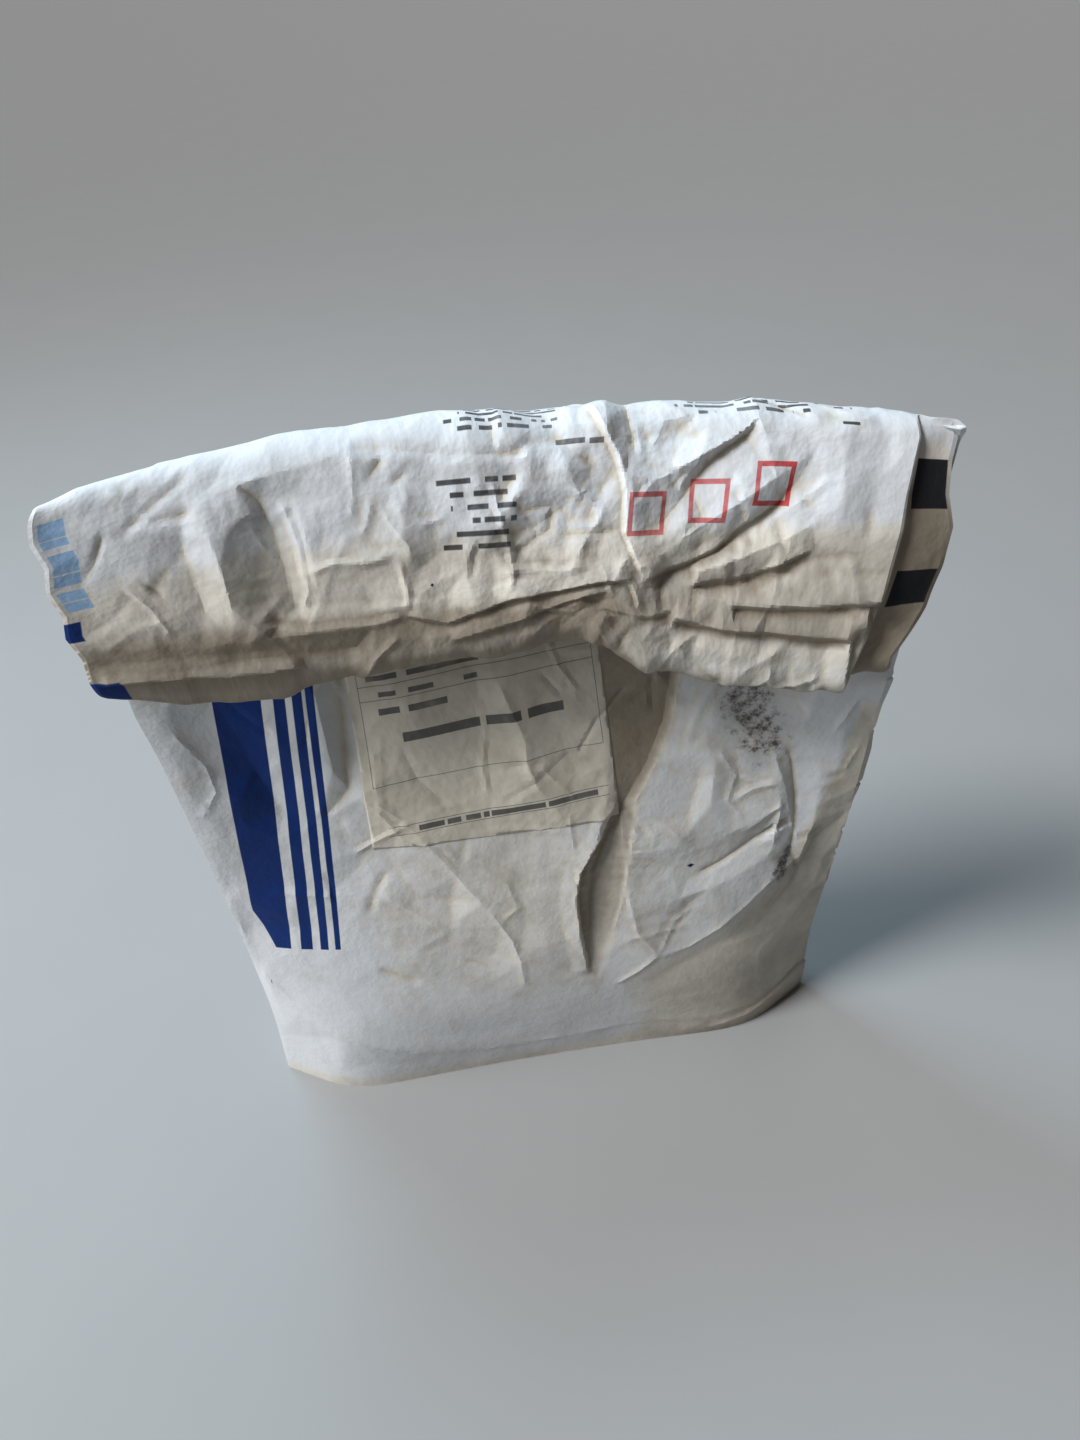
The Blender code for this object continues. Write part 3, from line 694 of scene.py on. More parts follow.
def lay_out(mesh, name, place_of, faces=None):
    """Give each corner of the faces its point's place on a UV map."""
    layer = mesh.loops.layers.uv.get(name) or mesh.loops.layers.uv.new(name)
    for face in faces or mesh.faces:
        for loop in face.loops:
            loop[layer].uv = place_of(loop.vert)


def carry(mesh, height=0.0):
    """Keep each point's flat place as the UV map, then move it to its place in space."""
    lay_out(mesh, "sheet", lambda point: point.co.xy)
    flat = np.array([point.co.xy for point in mesh.verts])
    places = read(SHEET, flat)
    if height:
        facing = read(SHEET_FACING, flat)
        places += facing / np.linalg.norm(facing, axis=1, keepdims=True) * height
    for point, place in zip(mesh.verts, places):
        point.co = place
    return flat


def set_up(item, **settings):
    """Set several settings of a thing, and give it back."""
    for setting, value in settings.items():
        setattr(item, setting, value)
    return item


def placed(name, data):
    """A new object of the scene."""
    item = bpy.data.objects.new(name, data)
    bpy.context.scene.collection.objects.link(item)
    return item


def finished(name, mesh, material):
    """A named object at the origin, with its mesh and material."""
    data = bpy.data.meshes.new(name)
    mesh.to_mesh(data)
    mesh.free()
    data.materials.append(material)
    return placed(name, data)


def paper_piece(name, mesh, material):
    """A piece of paper, smooth but for its creases, riding on the one body."""
    item = finished(name, mesh, material)
    item.data.shade_smooth()
    item.data.set_sharp_from_angle(angle=math.radians(SHARP_CREASE))
    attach(item, "root")
    return item


def triangles(item):
    """How many triangles a piece has once its modifiers are in."""
    made = item.evaluated_get(bpy.context.evaluated_depsgraph_get()).to_mesh()
    made.calc_loop_triangles()
    return len(made.loop_triangles)


# %% [markdown]
# ## Shader maths as Python
#
# A pattern is easier to read as a sum than as a web of nodes. One small class stands for a socket, and
# adding or multiplying it adds the Math node. Every other node comes from one method, node, which takes
# the node's type, its settings and what its sockets get.


# %% Sockets that can be added and multiplied
def operator(operation, swapped=False):
    """An operator that adds a Math node."""

    def applied(self, *others):
        values = (*others, self) if swapped else (self, *others)
        return self.paint.node("Math", {"operation": operation}, *values)

    return applied


class Wire:
    """The output of a node, as a number in an expression."""

    def __init__(self, paint, socket):
        self.paint = paint
        self.socket = socket

    __add__ = __radd__ = operator("ADD")
    __mul__ = __rmul__ = operator("MULTIPLY")
    __sub__, __rsub__ = operator("SUBTRACT"), operator("SUBTRACT", swapped=True)
    __truediv__, __abs__ = operator("DIVIDE"), operator("ABSOLUTE")


WORDS_A_METRE = 210.0
ROW_STEP, WORD_STEP = 7.31, 3.7         # how far apart the rows of marks read the noise


class Paint:
    """A material under construction."""

    def __init__(self, name):
        self.material = bpy.data.materials.new(name)
        self.material.use_nodes = True
        self.tree = self.material.node_tree
        self.surface = self.tree.nodes["Principled BSDF"]

    def node(self, kind, settings=None, *values, order=range(9), output=0, **named):
        """Add a node, set it up, feed its sockets in order or by name, and give back one output."""
        made = set_up(self.tree.nodes.new("ShaderNode" + kind), **(settings or {}))
        for index, value in zip(order, values):
            self.feed(made.inputs[index], value)
        self.feed_all(made, named)
        return Wire(self, made.outputs[output])

    def feed(self, socket, value):
        """Link a wire to a socket, or set the socket's own value."""
        if isinstance(value, Wire):
            self.tree.links.new(value.socket, socket)
        else:
            socket.default_value = value

    def feed_all(self, made, named):
        """Feed a node's sockets by name."""
        for name, value in named.items():
            self.feed(made.inputs[name.replace("_", " ")], value)

    def finish(self, **named):
        """Feed the surface shader's sockets by name, and give back the material."""
        self.feed_all(self.surface, named)
        return self.material

    def mix(self, mask, first, second):
        """The first colour where the mask is 0 and the second where it is 1."""
        return self.node("Mix", {"data_type": "RGBA"}, mask, first, second, order=(0, 6, 7), output=2)

    def coats(self, colour, *coats):
        """A colour with others laid over it in turn, each where its mask is 1."""
        for mask, over in coats:
            colour = self.mix(mask, colour, over)
        return colour

    def step(self, value, low, high):
        """0 up to low, 1 from high on, and smooth between them. The two may be the other way round."""
        return self.node("MapRange", {"interpolation_type": "SMOOTHSTEP"}, value, low, high)

    def band(self, value, low, high, soft):
        """1 between low and high, with edges as soft as told."""
        return self.step(value, low - soft, low + soft) * self.step(value, high + soft, high - soft)

    def bars(self, x, y, boxes, soft=0.00015):
        """1 inside plain bars, each given by its left, right, bottom and top."""
        total = 0.0
        for left, right, bottom, top in boxes:
            total = self.band(x, left, right, soft) * self.band(y, bottom, top, soft) + total
        return total

    def noise(self, place, scale, detail=3.0, roughness=0.5, kind="3D"):
        return self.node("TexNoise", {"noise_dimensions": kind}, Vector=place, Scale=scale, Detail=detail,
                         Roughness=roughness)

    def vectors(self, operation, first, second):
        return self.node("VectorMath", {"operation": operation}, first, second)

    def bump(self, height, strength, distance):
        return self.node("Bump", None, Strength=strength, Distance=distance, Height=height)

    def spread(self, at, scale, amount):
        """A small wandering step sideways."""
        cloud = self.node("TexNoise", None, Vector=at, Scale=scale, Detail=1.0, output=1)
        way = self.vectors("SUBTRACT", cloud, (0.5, 0.5, 0.5))
        return self.vectors("MULTIPLY", way, (amount, amount, 0.0))

    def crumple(self, at, scale):
        """Small flat facets with sharp edges: distances measured along the two axes give pyramids."""
        bent = self.vectors("ADD", at, self.spread(at, scale * 0.4, 0.6 / scale))
        height = 0.0
        for size, turn, share in ((1.0, 0.4, 0.6), (2.3, 1.3, 0.3)):
            turned = self.node("VectorRotate", {"rotation_type": "Z_AXIS"}, Vector=bent, Angle=turn)
            cells = self.node("TexVoronoi", {"distance": "MANHATTAN", "voronoi_dimensions": "2D"},
                              Vector=turned, Scale=scale * size)
            height = cells * share + height
        return height

    def place(self, x, y):
        return self.node("CombineXYZ", None, x, y, 0.0)

    def own_place(self):
        """A place in the piece's own space, in metres."""
        return self.node("TexCoord", output=3)

    def flat_place(self, name):
        """The two numbers of a place on a UV map."""
        at = self.node("UVMap", {"uv_map": name})
        return [self.node("SeparateXYZ", None, at, output=axis) for axis in (0, 1)]

    def attribute(self, name):
        """A number that the mesh holds at each point."""
        return self.node("Attribute", {"attribute_name": name}, output=2)

    def rows_of_marks(self, x, y, box, pitch, seed, filled, fine):
        """Rows of short plain dashes in a box of left, right, bottom and top: where small print stands."""
        left, right, bottom, top = box
        count = self.node("Math", {"operation": "FLOOR"}, (y - bottom) / pitch)
        within = (y - bottom) / pitch - count
        ragged = self.noise(self.place(count * ROW_STEP + seed, 0.5), 1.0, 0.0)
        at = self.place(x * WORDS_A_METRE * fine, count * WORD_STEP + seed)
        words = self.noise(at, 1.0, 0.0, kind="2D")
        inside = self.band(x, left, right, 0.0003) * self.band(y, bottom, top, 0.0002)
        length = self.step(x - right + (ragged - 0.3) * (right - left), 0.0004, -0.0004)
        row = self.band(within, 0.5 - filled / 2, 0.5 + filled / 2, 0.06)
        return inside * length * row * self.step(words, 0.42, 0.44)


print("shader helpers ready")

# %% [markdown]
# ## The sack's paper and its print
#
# The paper is white kraft: a cool off-white with faint fibre and clouds of dust. It is painted darker and
# browner as shade on the flap's tiers and downward faces, in hollows, down the channel beside the label,
# over the front and on the right-hand side. The stripes are flood-printed navy. All other print is
# replaced by plain generic marks: rows of dashes for small print, open red squares, plain bars.

# %% Colours
PAPER_WHITE = (0.56, 0.57, 0.585, 1)
PAPER_CREAM = (0.57, 0.525, 0.445, 1)
PAPER_DUST_AND_SHADE = (0.40, 0.37, 0.325, 1)
PAPER_BROWN = (0.23, 0.19, 0.14, 1)
NAVY = (0.0002, 0.019, 0.120, 1)
PALE_BLUE = (0.20, 0.36, 0.58, 1)
INK = (0.012, 0.012, 0.015, 1)
RED = (0.42, 0.018, 0.020, 1)
CEMENT_DUST = (0.085, 0.070, 0.066, 1)


# %% Stripes, which narrow downwards with the sack
# Each has its left and right at the top and then at the foot, in millimetres.
STRIPE_TOP, STRIPE_FOOT = 0.316, 0.137
STRIPES = ((40, 68, 13, 40), (75, 82, 48, 57), (86, 92, 63, 69), (94, 99, 74, 78))
EDGE = 0.0003                           # how soft the edges of print are, in metres


def right_of(paint, x, y, top, foot):
    """1 on the right of a line between two places in millimetres, at the stripes' top and at their foot."""
    lean = (top - foot) * MM / (STRIPE_TOP - STRIPE_FOOT)
    return paint.step(x - (y - STRIPE_FOOT) * lean - foot * MM, -EDGE, EDGE)


def stripes(paint, x, y):
    """One broad stripe with its lower left corner cut off, and three narrow ones."""
    mask = 0.0
    for top_left, top_right, left, right in STRIPES:
        stripe = right_of(paint, x, y, top_left, left) * (1 - right_of(paint, x, y, top_right, right))
        if not mask:
            stripe = stripe * paint.step(y + (x - 0.014) * 3.6 - 0.184, -0.001, 0.001)
        mask = stripe + mask
    return mask * paint.band(y, 0.1365, 0.425, EDGE)


# %% What else stands for print, in metres on the flat sheet: boxes of left, right, bottom and top
# A box of small print also has the pitch of its rows, a seed, how much of a row is filled, and how fine.
SMALL_PRINT = (((0.520, 0.590, 0.4625, 0.4735), 0.0037, 3.0, 0.5, 1.0),
               ((0.640, 0.700, 0.4600, 0.4770), 0.0033, 9.0, 0.5, 1.0),
               ((0.500, 0.516, 0.4560, 0.4700), 0.0036, 5.0, 0.5, 1.0),
               ((0.661, 0.703, 0.4930, 0.5290), 0.0060, 14.0, 0.42, 0.55))
DASHES = ((0.619, 0.626, 0.4810, 0.4835), (0.628, 0.642, 0.4805, 0.4830), (0.498, 0.506, 0.4760, 0.4772))
BLACK_PATCHES = ((0.4445, 0.4635, 0.490, 0.512), (0.4445, 0.4635, 0.539, 0.554))
NAVY_PATCHES = ((0.8785, 0.890, 0.539, 0.551), (0.872, 0.890, 0.578, 0.590))
PALE_STRIP = ((0.8705, 0.8825, 0.476, 0.535),)
SQUARES = ((0.596, 0.515), (0.5655, 0.510), (0.5345, 0.5025))
SQUARE_SIZE, SQUARE_LINE = 0.0190, 0.0023


def open_squares(paint, x, y):
    """The outlines of the upright squares."""
    mask = 0.0
    for across, along in SQUARES:
        far = paint.node("Math", {"operation": "MAXIMUM"}, abs(x - across), abs(y - along))
        mask = paint.band(far, SQUARE_SIZE / 2 - SQUARE_LINE, SQUARE_SIZE / 2, 0.0002) + mask
    return mask


def ink_marks(paint, x, y):
    """The rows of dashes, and the single ones."""
    mask = paint.bars(x, y, DASHES, 0.0002)
    for block in SMALL_PRINT:
        mask = paint.rows_of_marks(x, y, *block) + mask
    return mask


# %% Spilt powder and spots, in metres on the flat sheet
def patch(paint, x, y, middle, lean, across, along):
    """1 in the middle of a leaning patch, and fading between two distances across it and along it."""
    return (paint.step(abs(x - middle[0] - (y - middle[1]) * lean), *across)
            * paint.step(abs(y - middle[1]), *along))


def spilt_powder(paint, x, y, at):
    """Clods and haze: a cloud below the flap, a little in the right-hand crease, a veil under the flap."""
    spill = (patch(paint, x, y, (0.3604, 0.280), -0.42, (0.034, 0.004), (0.056, 0.012))
             + patch(paint, x, y, (0.394, 0.160), 0.25, (0.012, 0.001), (0.032, 0.004)) * 1.2)
    veil = patch(paint, x, y, (0.385, 0.322), 0.0, (0.036, 0.012), (0.022, 0.004))
    clods = paint.noise(at, 145.0, 6.0, 0.80)
    thick = paint.step(clods + spill * 0.250, 0.64, 0.90) * paint.step(spill, 0.02, 0.4)
    haze = paint.step(spill, 0.0, 1.0) * (0.12 + clods * 0.34)
    return thick + haze + veil * clods * 0.45


def spots(paint, x, y):
    """Two black spots, one on the body and one on the flap."""
    return (paint.step(abs(x - 0.325) * 0.6 + abs(y - 0.173), 0.0021, 0.0012)
            + paint.step(abs(x - 0.705) + abs(y - 0.543), 0.0014, 0.0006))


# %% The whole finish of the sack
def sack_paper():
    paint = Paint("sack_paper")
    x, y = paint.flat_place("sheet")
    at = paint.place(x, y)
    dirt_and_shade, worn = paint.attribute("dirt_and_shade"), paint.attribute("worn")
    clouds = paint.noise(at, 28.0, 4.0, 0.6)
    mottle = paint.noise(at, 160.0, 3.0, 0.6)
    fibre = paint.noise(at, 1500.0, 2.0, 0.6)
    specks = paint.noise(at, 900.0, 2.0, 0.7)
    # The attribute read above holds dirt and painted shade alike, so the cream, dust and brown coats below
    # paint both.
    dust_and_shade = paint.step(clouds + dirt_and_shade * 0.55 - 0.08, 0.42, 0.95)
    navy = stripes(paint, x, y) + paint.bars(x, y, NAVY_PATCHES, 0.0005)
    ragged = paint.step(paint.noise(paint.place(y * 230.0, 0.3), 1.0, 0.0, kind="2D"), 0.42, 0.46)
    pale = paint.bars(x, y, PALE_STRIP, EDGE) * ragged
    kept = 1 - paint.step(worn + mottle * 0.6, 0.98, 1.35) * 0.25
    paper = paint.coats(
        PAPER_WHITE,
        (paint.step(dirt_and_shade + mottle * 0.2, 0.19, 0.44) * 0.85, PAPER_CREAM),
        (dust_and_shade, PAPER_DUST_AND_SHADE),
        (paint.step(dirt_and_shade + mottle * 0.4, 0.60, 1.35), PAPER_BROWN),
        (paint.step(mottle, 0.50, 0.80) * 0.10, PAPER_DUST_AND_SHADE),
        (paint.step(specks, 0.70, 0.80) * 0.35, PAPER_BROWN),
        (navy * kept, NAVY),
        (pale * 0.85 * kept, PALE_BLUE),
        (ink_marks(paint, x, y) * 0.92 * kept, INK),
        (open_squares(paint, x, y) * 0.95 * kept, RED),
        (paint.bars(x, y, BLACK_PATCHES, EDGE), INK),
        (spilt_powder(paint, x, y, at) * 0.85, CEMENT_DUST),
        (spots(paint, x, y), INK),
    )
    height = paint.crumple(at, 140.0) * (0.09 + worn * 0.30) + clouds * 0.5 + mottle * 0.07 + fibre * 0.035
    rough = 0.62 + mottle * 0.16 + dust_and_shade * 0.10 - navy * 0.14
    return paint.finish(Base_Color=paper, Roughness=rough, Normal=paint.bump(height, 0.5, 0.0024),
                        Specular_IOR_Level=0.22)


# %% [markdown]
# ## The sack
#
# The tube is closed at the floor with one flat face, as the pasted bottom of a real sack is, and pressed
# shut at its mouth, which lies unseen inside the roll. Two attributes tell the material what the mesh
# knows: how darkly the paper is painted, for dirt and for shade where it looks down, lies in hollows or
# turns away from the light, and where it has been creased most.

# %% Where the paper is painted darker, for dirt and shade, in rows of place and value, with places in
# millimetres on the flat sheet. How high the painted shade of the right-hand side comes, the left and
# right bank of the channel beside the label, and how darkly the channel is painted.
SHADE_LINE, LEFT_BANK, RIGHT_BANK, CHANNEL_SHADE_AND_DUST = table("""
260,72 303,100 345,114 368,132 393,154 405,190 420,238 432,300
90,253 118,247 148,243 178,246 206,262 229,270 252,268 279,266 312,262 340,262
90,258 118,268 148,277 178,282 206,285 229,288 252,300 279,310 312,314 340,318
90,0.15 150,0.5 210,0.5 260,0.85
""")


def roll_painted_shade(roll):
    """Painted shade on the flap: its tiers, a band along its middle and below its diagonal fold, and a
    painted shadow on its right-hand end, which stands back behind the panel.
    """
    # Painted shade of the tiers that face down, eased off on the lit lower tier; painted shadow on the
    # set-back end.
    lighter_tier = 1 - 0.6 * rise(UP, 560, 7) * rise(ROUND, 600, -20)
    slope = UP - (ROUND - 520) * 0.2
    return roll * (rise(UP, 545, 22) * (0.22 + 0.60 * rise(ROUND, 590, 40)) * lighter_tier
                   + 0.30 * rise(UP, 505, 30) * rise(UP, 580, -25)
                   + 1.2 * rise(ROUND, 468, -4) * rise(UP, 470, 50)
                   + 0.30 * rise(slope, 518, 18) * rise(ROUND, 650, -40) * lighter_tier)


def channel_shade_and_dust():
    """Painted shade of the flap, with some dust, down in the channel beside the label."""
    # Painted shade of the flap over the deep channel, with some dust.
    from_right, from_left = follow(RIGHT_BANK, UP) - ROUND, ROUND - follow(LEFT_BANK, UP)
    inside = ease(from_right / 7 + 0.35) * ease(from_left / 8 + 0.2)
    return follow(CHANNEL_SHADE_AND_DUST, UP) * inside * (ROUND < HALF) * rise(UP, 380, -20)


def body_dirt_and_shade():
    """Dirt round the foot, and painted shade on the right-hand side, in the middle of the front and over the
    front.
    """
    # Only the foot term is dirt; the flank, middle and front terms are painted shade.
    flank = rise(UP, follow(SHADE_LINE, ROUND), -26) * rise(ROUND, 250, 100) * rise(ROUND, 500, -50)
    middle = np.exp(-((ROUND - 205) / 80) ** 2 - ((UP - 160) / 75) ** 2)
    front = rise(ROUND, 60, 60) * rise(ROUND, 420, -40) * rise(UP, 10, 90) * rise(UP, 400, -30)
    return 0.30 * rise(UP, 22, -22) + 0.43 * flank + 0.09 * middle + 0.15 * front * (1 - flank)


def dirt_shade_and_wear():
    """Lattices from 0 to 1: how dark and brown the paper is painted, for dirt and for shade, and how much it
    has been handled.
    """
    roll = on_flap(ROUND, UP)
    # Painted shade: darker in the hollows of the creases and where the flap's paper faces down.
    hollow = (softened(LIFT, 6) - softened(LIFT, 1)) / MM
    facing_down = 0.6 * rise(-SHEET_FACING[..., 2], 0.05, 0.8) * roll
    dirt_and_shade = facing_down + np.clip(hollow * 1.2, 0, 0.5) + roll_painted_shade(roll) + channel_shade_and_dust() + body_dirt_and_shade()
    worn = 0.02 + 0.20 * rise(UP, 90, 60) + 0.7 * roll * busy(ROUND, UP)
    return np.clip(dirt_and_shade, 0, 1), np.clip(worn, 0, 1)


# %% Make the sack
SEAM_GAP = 2e-5                         # closer than this, the two edges of the sheet are one
FOOT_BELOW, MOUTH_ABOVE = 1e-4, 0.1     # heights in metres that tell the open edges apart
CAP_MAP = Vector((1.2, 0.2))            # where the caps lie on the map, clear of the print


def close_ends(mesh):
    """Flat caps over the foot and the hidden mouth."""
    open_edges = [edge for edge in mesh.edges if edge.is_boundary]
    foot = [edge for edge in open_edges if max(point.co.z for point in edge.verts) < FOOT_BELOW]
    mouth = [edge for edge in open_edges if edge.verts[0].co.z > MOUTH_ABOVE]
    caps = []
    for edges in (foot, mouth):
        caps += bmesh.ops.contextual_create(mesh, geom=edges)["faces"]
    caps = bmesh.ops.triangulate(mesh, faces=caps, ngon_method="BEAUTY")["faces"]
    lay_out(mesh, "sheet", lambda point: CAP_MAP + point.co.xy, caps)


def make_sack(material):
    mesh = flat_grid()
    flat = carry(mesh)
    # The first attribute holds dirt and painted shade alike.
    for name, lattice in zip(("dirt_and_shade", "worn"), dirt_shade_and_wear()):
        layer = mesh.verts.layers.float.new(name)
        for point, value in zip(mesh.verts, read(lattice, flat)):
            point[layer] = value
    seam = [point for point, (x, _) in zip(mesh.verts, flat) if x < TINY or x > ACROSS[-1] - TINY]
    bmesh.ops.remove_doubles(mesh, verts=seam, dist=SEAM_GAP)
    close_ends(mesh)
    bmesh.ops.recalc_face_normals(mesh, faces=mesh.faces[:])
    print("open edges left on the sack:", sum(edge.is_boundary for edge in mesh.edges))
    return paper_piece("sack", mesh, material)


sack = make_sack(sack_paper())
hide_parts("paper_sack")
print("sack:", triangles(sack), "triangles")

# %% [markdown]
# ## The label
#
# The label is a cream, glued-on sheet of thin paper that follows each crease of the sack under it. It is
# cut from the same grid with four straight cuts, so that its facets are the sack's own, and lifted by its
# glue. Its ruled frame stays. What was written in it becomes plain dashes.

# %% Cut the label out
LABEL_CORNERS = ((0.114, 0.212), (0.276, 0.219), (0.2605, 0.374), (0.120, 0.367))
LABEL_WIDTH, LABEL_HEIGHT = 0.152, 0.155
LABEL_LIFT, LABEL_THICKNESS = 0.00025, 0.00015


def cuts_round(corners):
    """The four straight cuts: a point and the way out, along the bottom, right, top and left."""
    for start, end in zip(corners, corners[1:] + corners[:1]):
        along = (Vector(end) - Vector(start)).normalized()
        yield Vector((*start, 0.0)), Vector((along.y, -along.x, 0.0))


def make_label(material):
    mesh = flat_grid()
    cuts = list(cuts_round(LABEL_CORNERS))
    for point, way in cuts:
        everything = mesh.verts[:] + mesh.edges[:] + mesh.faces[:]
        bmesh.ops.bisect_plane(mesh, geom=everything, plane_co=point, plane_no=way, clear_outer=True)
    flat = carry(mesh, LABEL_LIFT)
    far = [[-(Vector((*place, 0.0)) - point).dot(way) for point, way in cuts] for place in flat]
    mesh.verts.index_update()

    def label_place(point):
        bottom, right, top, left = far[point.index]
        return LABEL_WIDTH * left / (left + right), LABEL_HEIGHT * bottom / (bottom + top)

    lay_out(mesh, "label", label_place)
    item = paper_piece("label", mesh, material)
    set_up(item.modifiers.new("thickness", "SOLIDIFY"), thickness=LABEL_THICKNESS, offset=1.0)
    return item


# %% The label's paper and rules
LABEL_CREAM = (0.52, 0.48, 0.405, 1)
LABEL_STAIN_AND_SHADOW = (0.31, 0.275, 0.215, 1)
LABEL_INK = (0.045, 0.043, 0.042, 1)
LINE = 0.0005
FRAME_LEFT, FRAME_RIGHT, FRAME_FOOT = 0.0065, 0.1475, 0.0487
RULES = ((0.0130, 0.012), (0.0195, 0.012), (FRAME_FOOT, FRAME_LEFT), (0.1027, FRAME_LEFT),
         (0.1118, FRAME_LEFT), (0.1213, 0.0500))     # the height of each rule and its left end
LABEL_MIDDLE, PRINT_TILT = 0.077, 0.065
WORDS = table("""
0.0142,0.0180 0.0304,0.0461 0.0479,0.0563 0.0593,0.0684 0.0702,0.0738 0.0750,0.1081 0.1099,0.1406
0.0745,0.0805 0.0291,0.0762 0.0798,0.1010 0.1051,0.1269
0.0930,0.0972 0.0168,0.0298 0.0351,0.0587
0.1045,0.1077 0.0183,0.0289 0.0365,0.0518 0.0701,0.0784
0.1148,0.1182 0.0121,0.0310 0.0369,0.0805
0.1250,0.1285 0.0377,0.0619
""")                                    # each row: its foot and top, then the left and right of each dash


def label_paper():
    paint = Paint("label_paper")
    x, y = paint.flat_place("label")
    at = paint.place(x, y)
    tilted = y - (x - LABEL_MIDDLE) * PRINT_TILT
    half = LINE / 2
    lines = [(left, FRAME_RIGHT, level - half, level + half) for level, left in RULES]
    lines += [(side - half, side + half, FRAME_FOOT, LABEL_HEIGHT) for side in (FRAME_LEFT, FRAME_RIGHT)]
    dashes = [(*word, *row) for row, *words in WORDS for word in words]
    stains = paint.noise(at, 26.0, 4.0, 0.6)
    mottle = paint.noise(at, 190.0, 3.0, 0.6)
    faded = paint.step(stains, 0.72, 0.50) * 0.35 + 0.55
    paper = paint.coats(
        LABEL_CREAM,
        (paint.step(stains, 0.40, 0.78) * 0.6, LABEL_STAIN_AND_SHADOW),
        (paint.step(mottle, 0.5, 0.8) * 0.12, LABEL_STAIN_AND_SHADOW),
        # Painted shadow of the flap across the top of the label.
        (paint.step(y + stains * 0.05, 0.085, 0.150) * 0.45, LABEL_STAIN_AND_SHADOW),
        (paint.bars(x, tilted, lines) * 0.75, LABEL_INK),
        (paint.bars(x, tilted, dashes) * faded, LABEL_INK),
    )
    return paint.finish(Base_Color=paper, Roughness=0.50 + mottle * 0.15, Specular_IOR_Level=0.45,
                        Normal=paint.bump(paint.crumple(at, 80.0), 0.4, 0.0012))


label = make_label(label_paper())
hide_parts("paper_label")
print("label:", triangles(label), "triangles")

# %% [markdown]
# ## The dry mix
#
# Nobody sees the powder unless the sack is taken off it, so its CAD solid stays and gets the look of fine
# grey cement: matt, with pale clumps and a grainy surface.

# %% Grey powder
POWDER_DARK = (0.17, 0.165, 0.158, 1)
POWDER_GREY = (0.31, 0.30, 0.285, 1)
POWDER_PALE = (0.42, 0.41, 0.39, 1)


def cement_powder():
    paint = Paint("cement_powder")
    at = paint.own_place()
    clumps = paint.noise(at, 90.0, 5.0, 0.65)
    grains = paint.noise(at, 1400.0, 2.0, 0.6)
    powder = paint.coats(POWDER_DARK, (paint.step(clumps, 0.35, 0.70), POWDER_GREY),
                         (paint.step(grains, 0.55, 0.75) * 0.5, POWDER_PALE))
    return paint.finish(Base_Color=powder, Roughness=0.92 + grains * 0.06,
                        Normal=paint.bump(clumps + grains * 0.2, 0.6, 0.002))


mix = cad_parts["dry_mix"]
mix.data.materials.clear()
mix.data.materials.append(cement_powder())
print("dry mix keeps its solid")

# %% [markdown]
# ## Floor, light and camera
#
# A plain pale floor. The daylight comes wide from the upper left, as through an open door, with a second
# soft light low on the left and a blue window high behind, so that facets that look up are bluish and
# those that look down are tan. A weak broad light from behind keeps the back readable. The world is dim as
# a light and mid-grey as a backdrop.

# %% Floor
FLOOR_REACH = 40.0
FLOOR_PALE, FLOOR_GREY = (0.285, 0.285, 0.283, 1), (0.245, 0.245, 0.243, 1)
floor_mesh = bmesh.new()
bmesh.ops.create_grid(floor_mesh, x_segments=1, y_segments=1, size=FLOOR_REACH)
paint = Paint("floor")
floor_tone = paint.mix(paint.noise(paint.own_place(), 9.0, 4.0) * 0.35, FLOOR_PALE, FLOOR_GREY)
finished("floor", floor_mesh, paint.finish(Base_Color=floor_tone, Roughness=0.9))


# %% Light
def light(name, kind, energy, colour, direction, **settings):
    """A light that comes from a direction."""
    item = placed(name, set_up(bpy.data.lights.new(name, kind), energy=energy, color=colour, **settings))
    item.rotation_euler = Vector(direction).to_track_quat("Z", "Y").to_euler()
    return item


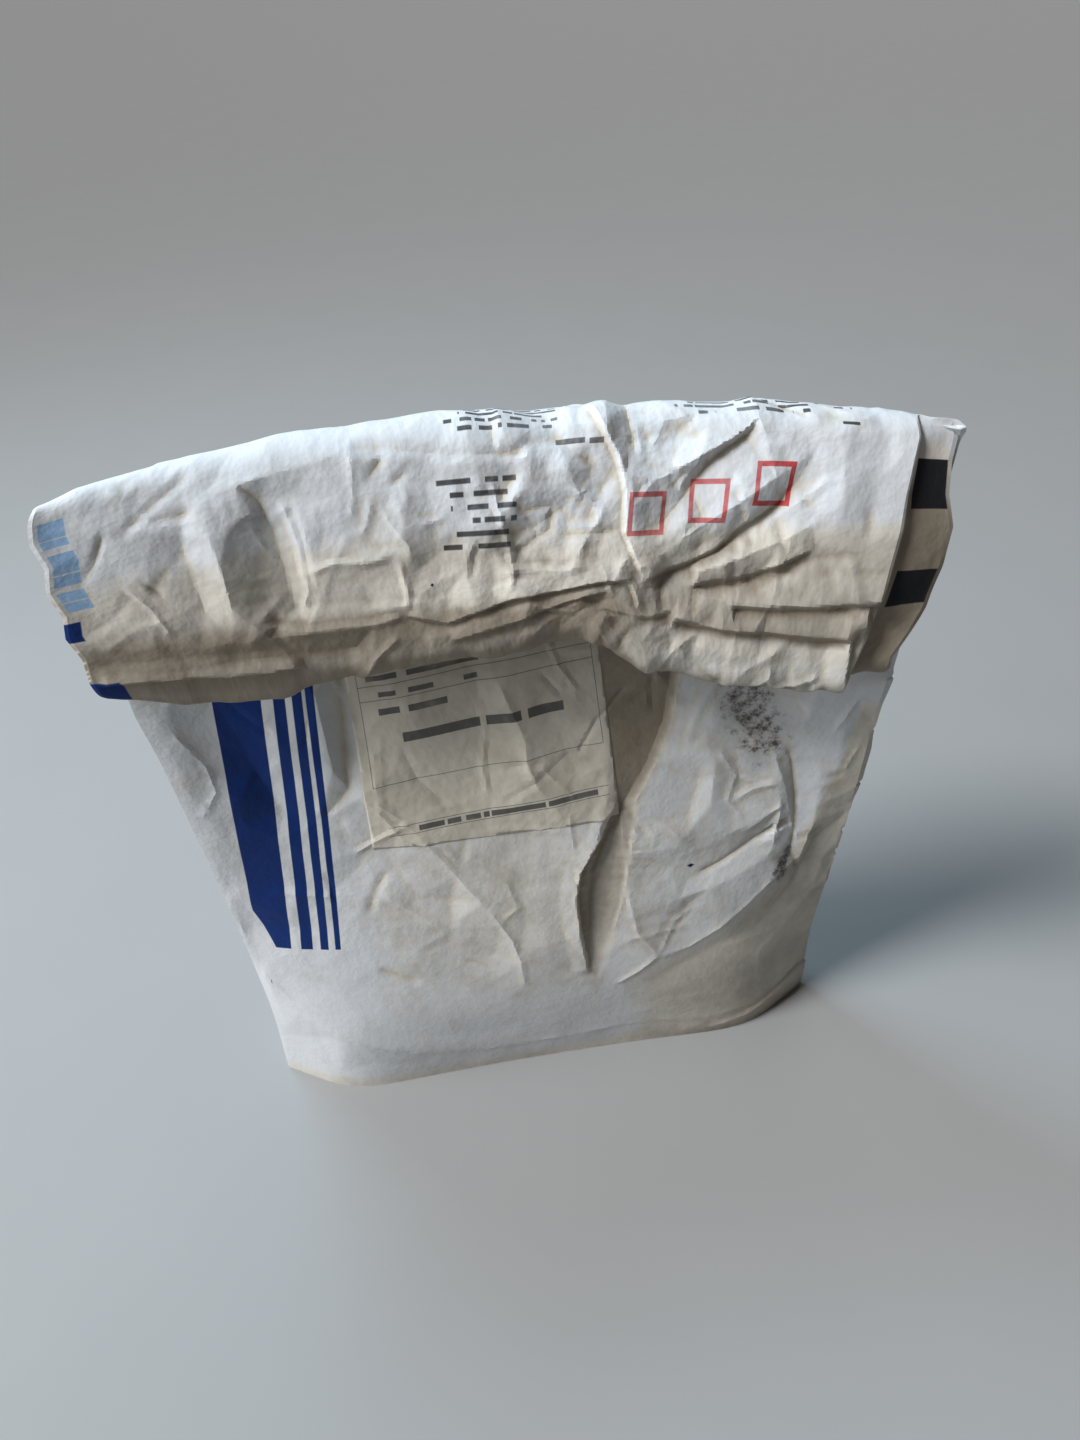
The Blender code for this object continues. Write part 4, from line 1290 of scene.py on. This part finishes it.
light("key", "SUN", 3.3, (0.97, 0.985, 1.0), (-0.63, -0.20, 0.75), angle=math.radians(17))
light("back_fill", "SUN", 0.55, (1.0, 0.98, 0.95), (0.35, 1.0, 0.45), angle=math.radians(50))
window = light("window", "AREA", 16, (0.54, 0.80, 1.0), (-0.55, 0.55, 1.3),
               shape="RECTANGLE", size=0.5, size_y=0.4)
window.location = (-0.55, 0.55, 1.6)
left_door = light("left_door", "AREA", 24, (0.94, 0.975, 1.0), (-1.7, -0.36, 0.75),
                  shape="RECTANGLE", size=1.2, size_y=0.9)
left_door.location = (-1.7, -0.36, 0.95)
bpy.context.scene.view_settings.view_transform = "Standard"

# %% World
SKY_LIGHT, SEEN_BACKDROP = 0.085, 0.42
world = bpy.data.worlds.new("studio")
world.use_nodes = True
nodes, links = world.node_tree.nodes, world.node_tree.links
nodes["Background"].inputs["Color"].default_value = (1.0, 0.95, 0.89, 1)
ray = nodes.new("ShaderNodeLightPath")
glow = nodes.new("ShaderNodeMath")
glow.operation = "MULTIPLY_ADD"
glow.inputs[1].default_value = SEEN_BACKDROP - SKY_LIGHT
glow.inputs[2].default_value = SKY_LIGHT
links.new(ray.outputs["Is Camera Ray"], glow.inputs[0])
links.new(glow.outputs[0], nodes["Background"].inputs["Strength"])
bpy.context.scene.world = world

# %% [markdown]
# The camera stands where the photographer did: in front, a little above the roll, looking down. The place
# and angles come from fitting the sack's flat base, its ridge and its label to the picture.

# %% Camera
EYE = Vector((-0.020, -0.462, 0.647))
YAW, PITCH, TILT = math.radians(3.48), math.radians(38.63), math.radians(-3.48)
look = Vector((math.sin(YAW) * math.cos(PITCH), math.cos(YAW) * math.cos(PITCH), -math.sin(PITCH)))
level_right = Vector((math.cos(YAW), -math.sin(YAW), 0.0))
level_up = level_right.cross(look)
right = level_right * math.cos(TILT) + level_up * math.sin(TILT)
up = level_up * math.cos(TILT) - level_right * math.sin(TILT)
camera = placed("camera", set_up(bpy.data.cameras.new("camera"), sensor_width=36.0, lens=25.0))
camera.location = EYE
camera.rotation_mode = "QUATERNION"
turn = [[right[row], up[row], -look[row]] for row in range(3)]
camera.rotation_quaternion = Matrix(turn).to_quaternion()
bpy.context.scene.camera = camera
print("camera at", tuple(round(value, 3) for value in EYE))

# %% Bring the scene up to date
bpy.context.view_layer.update()
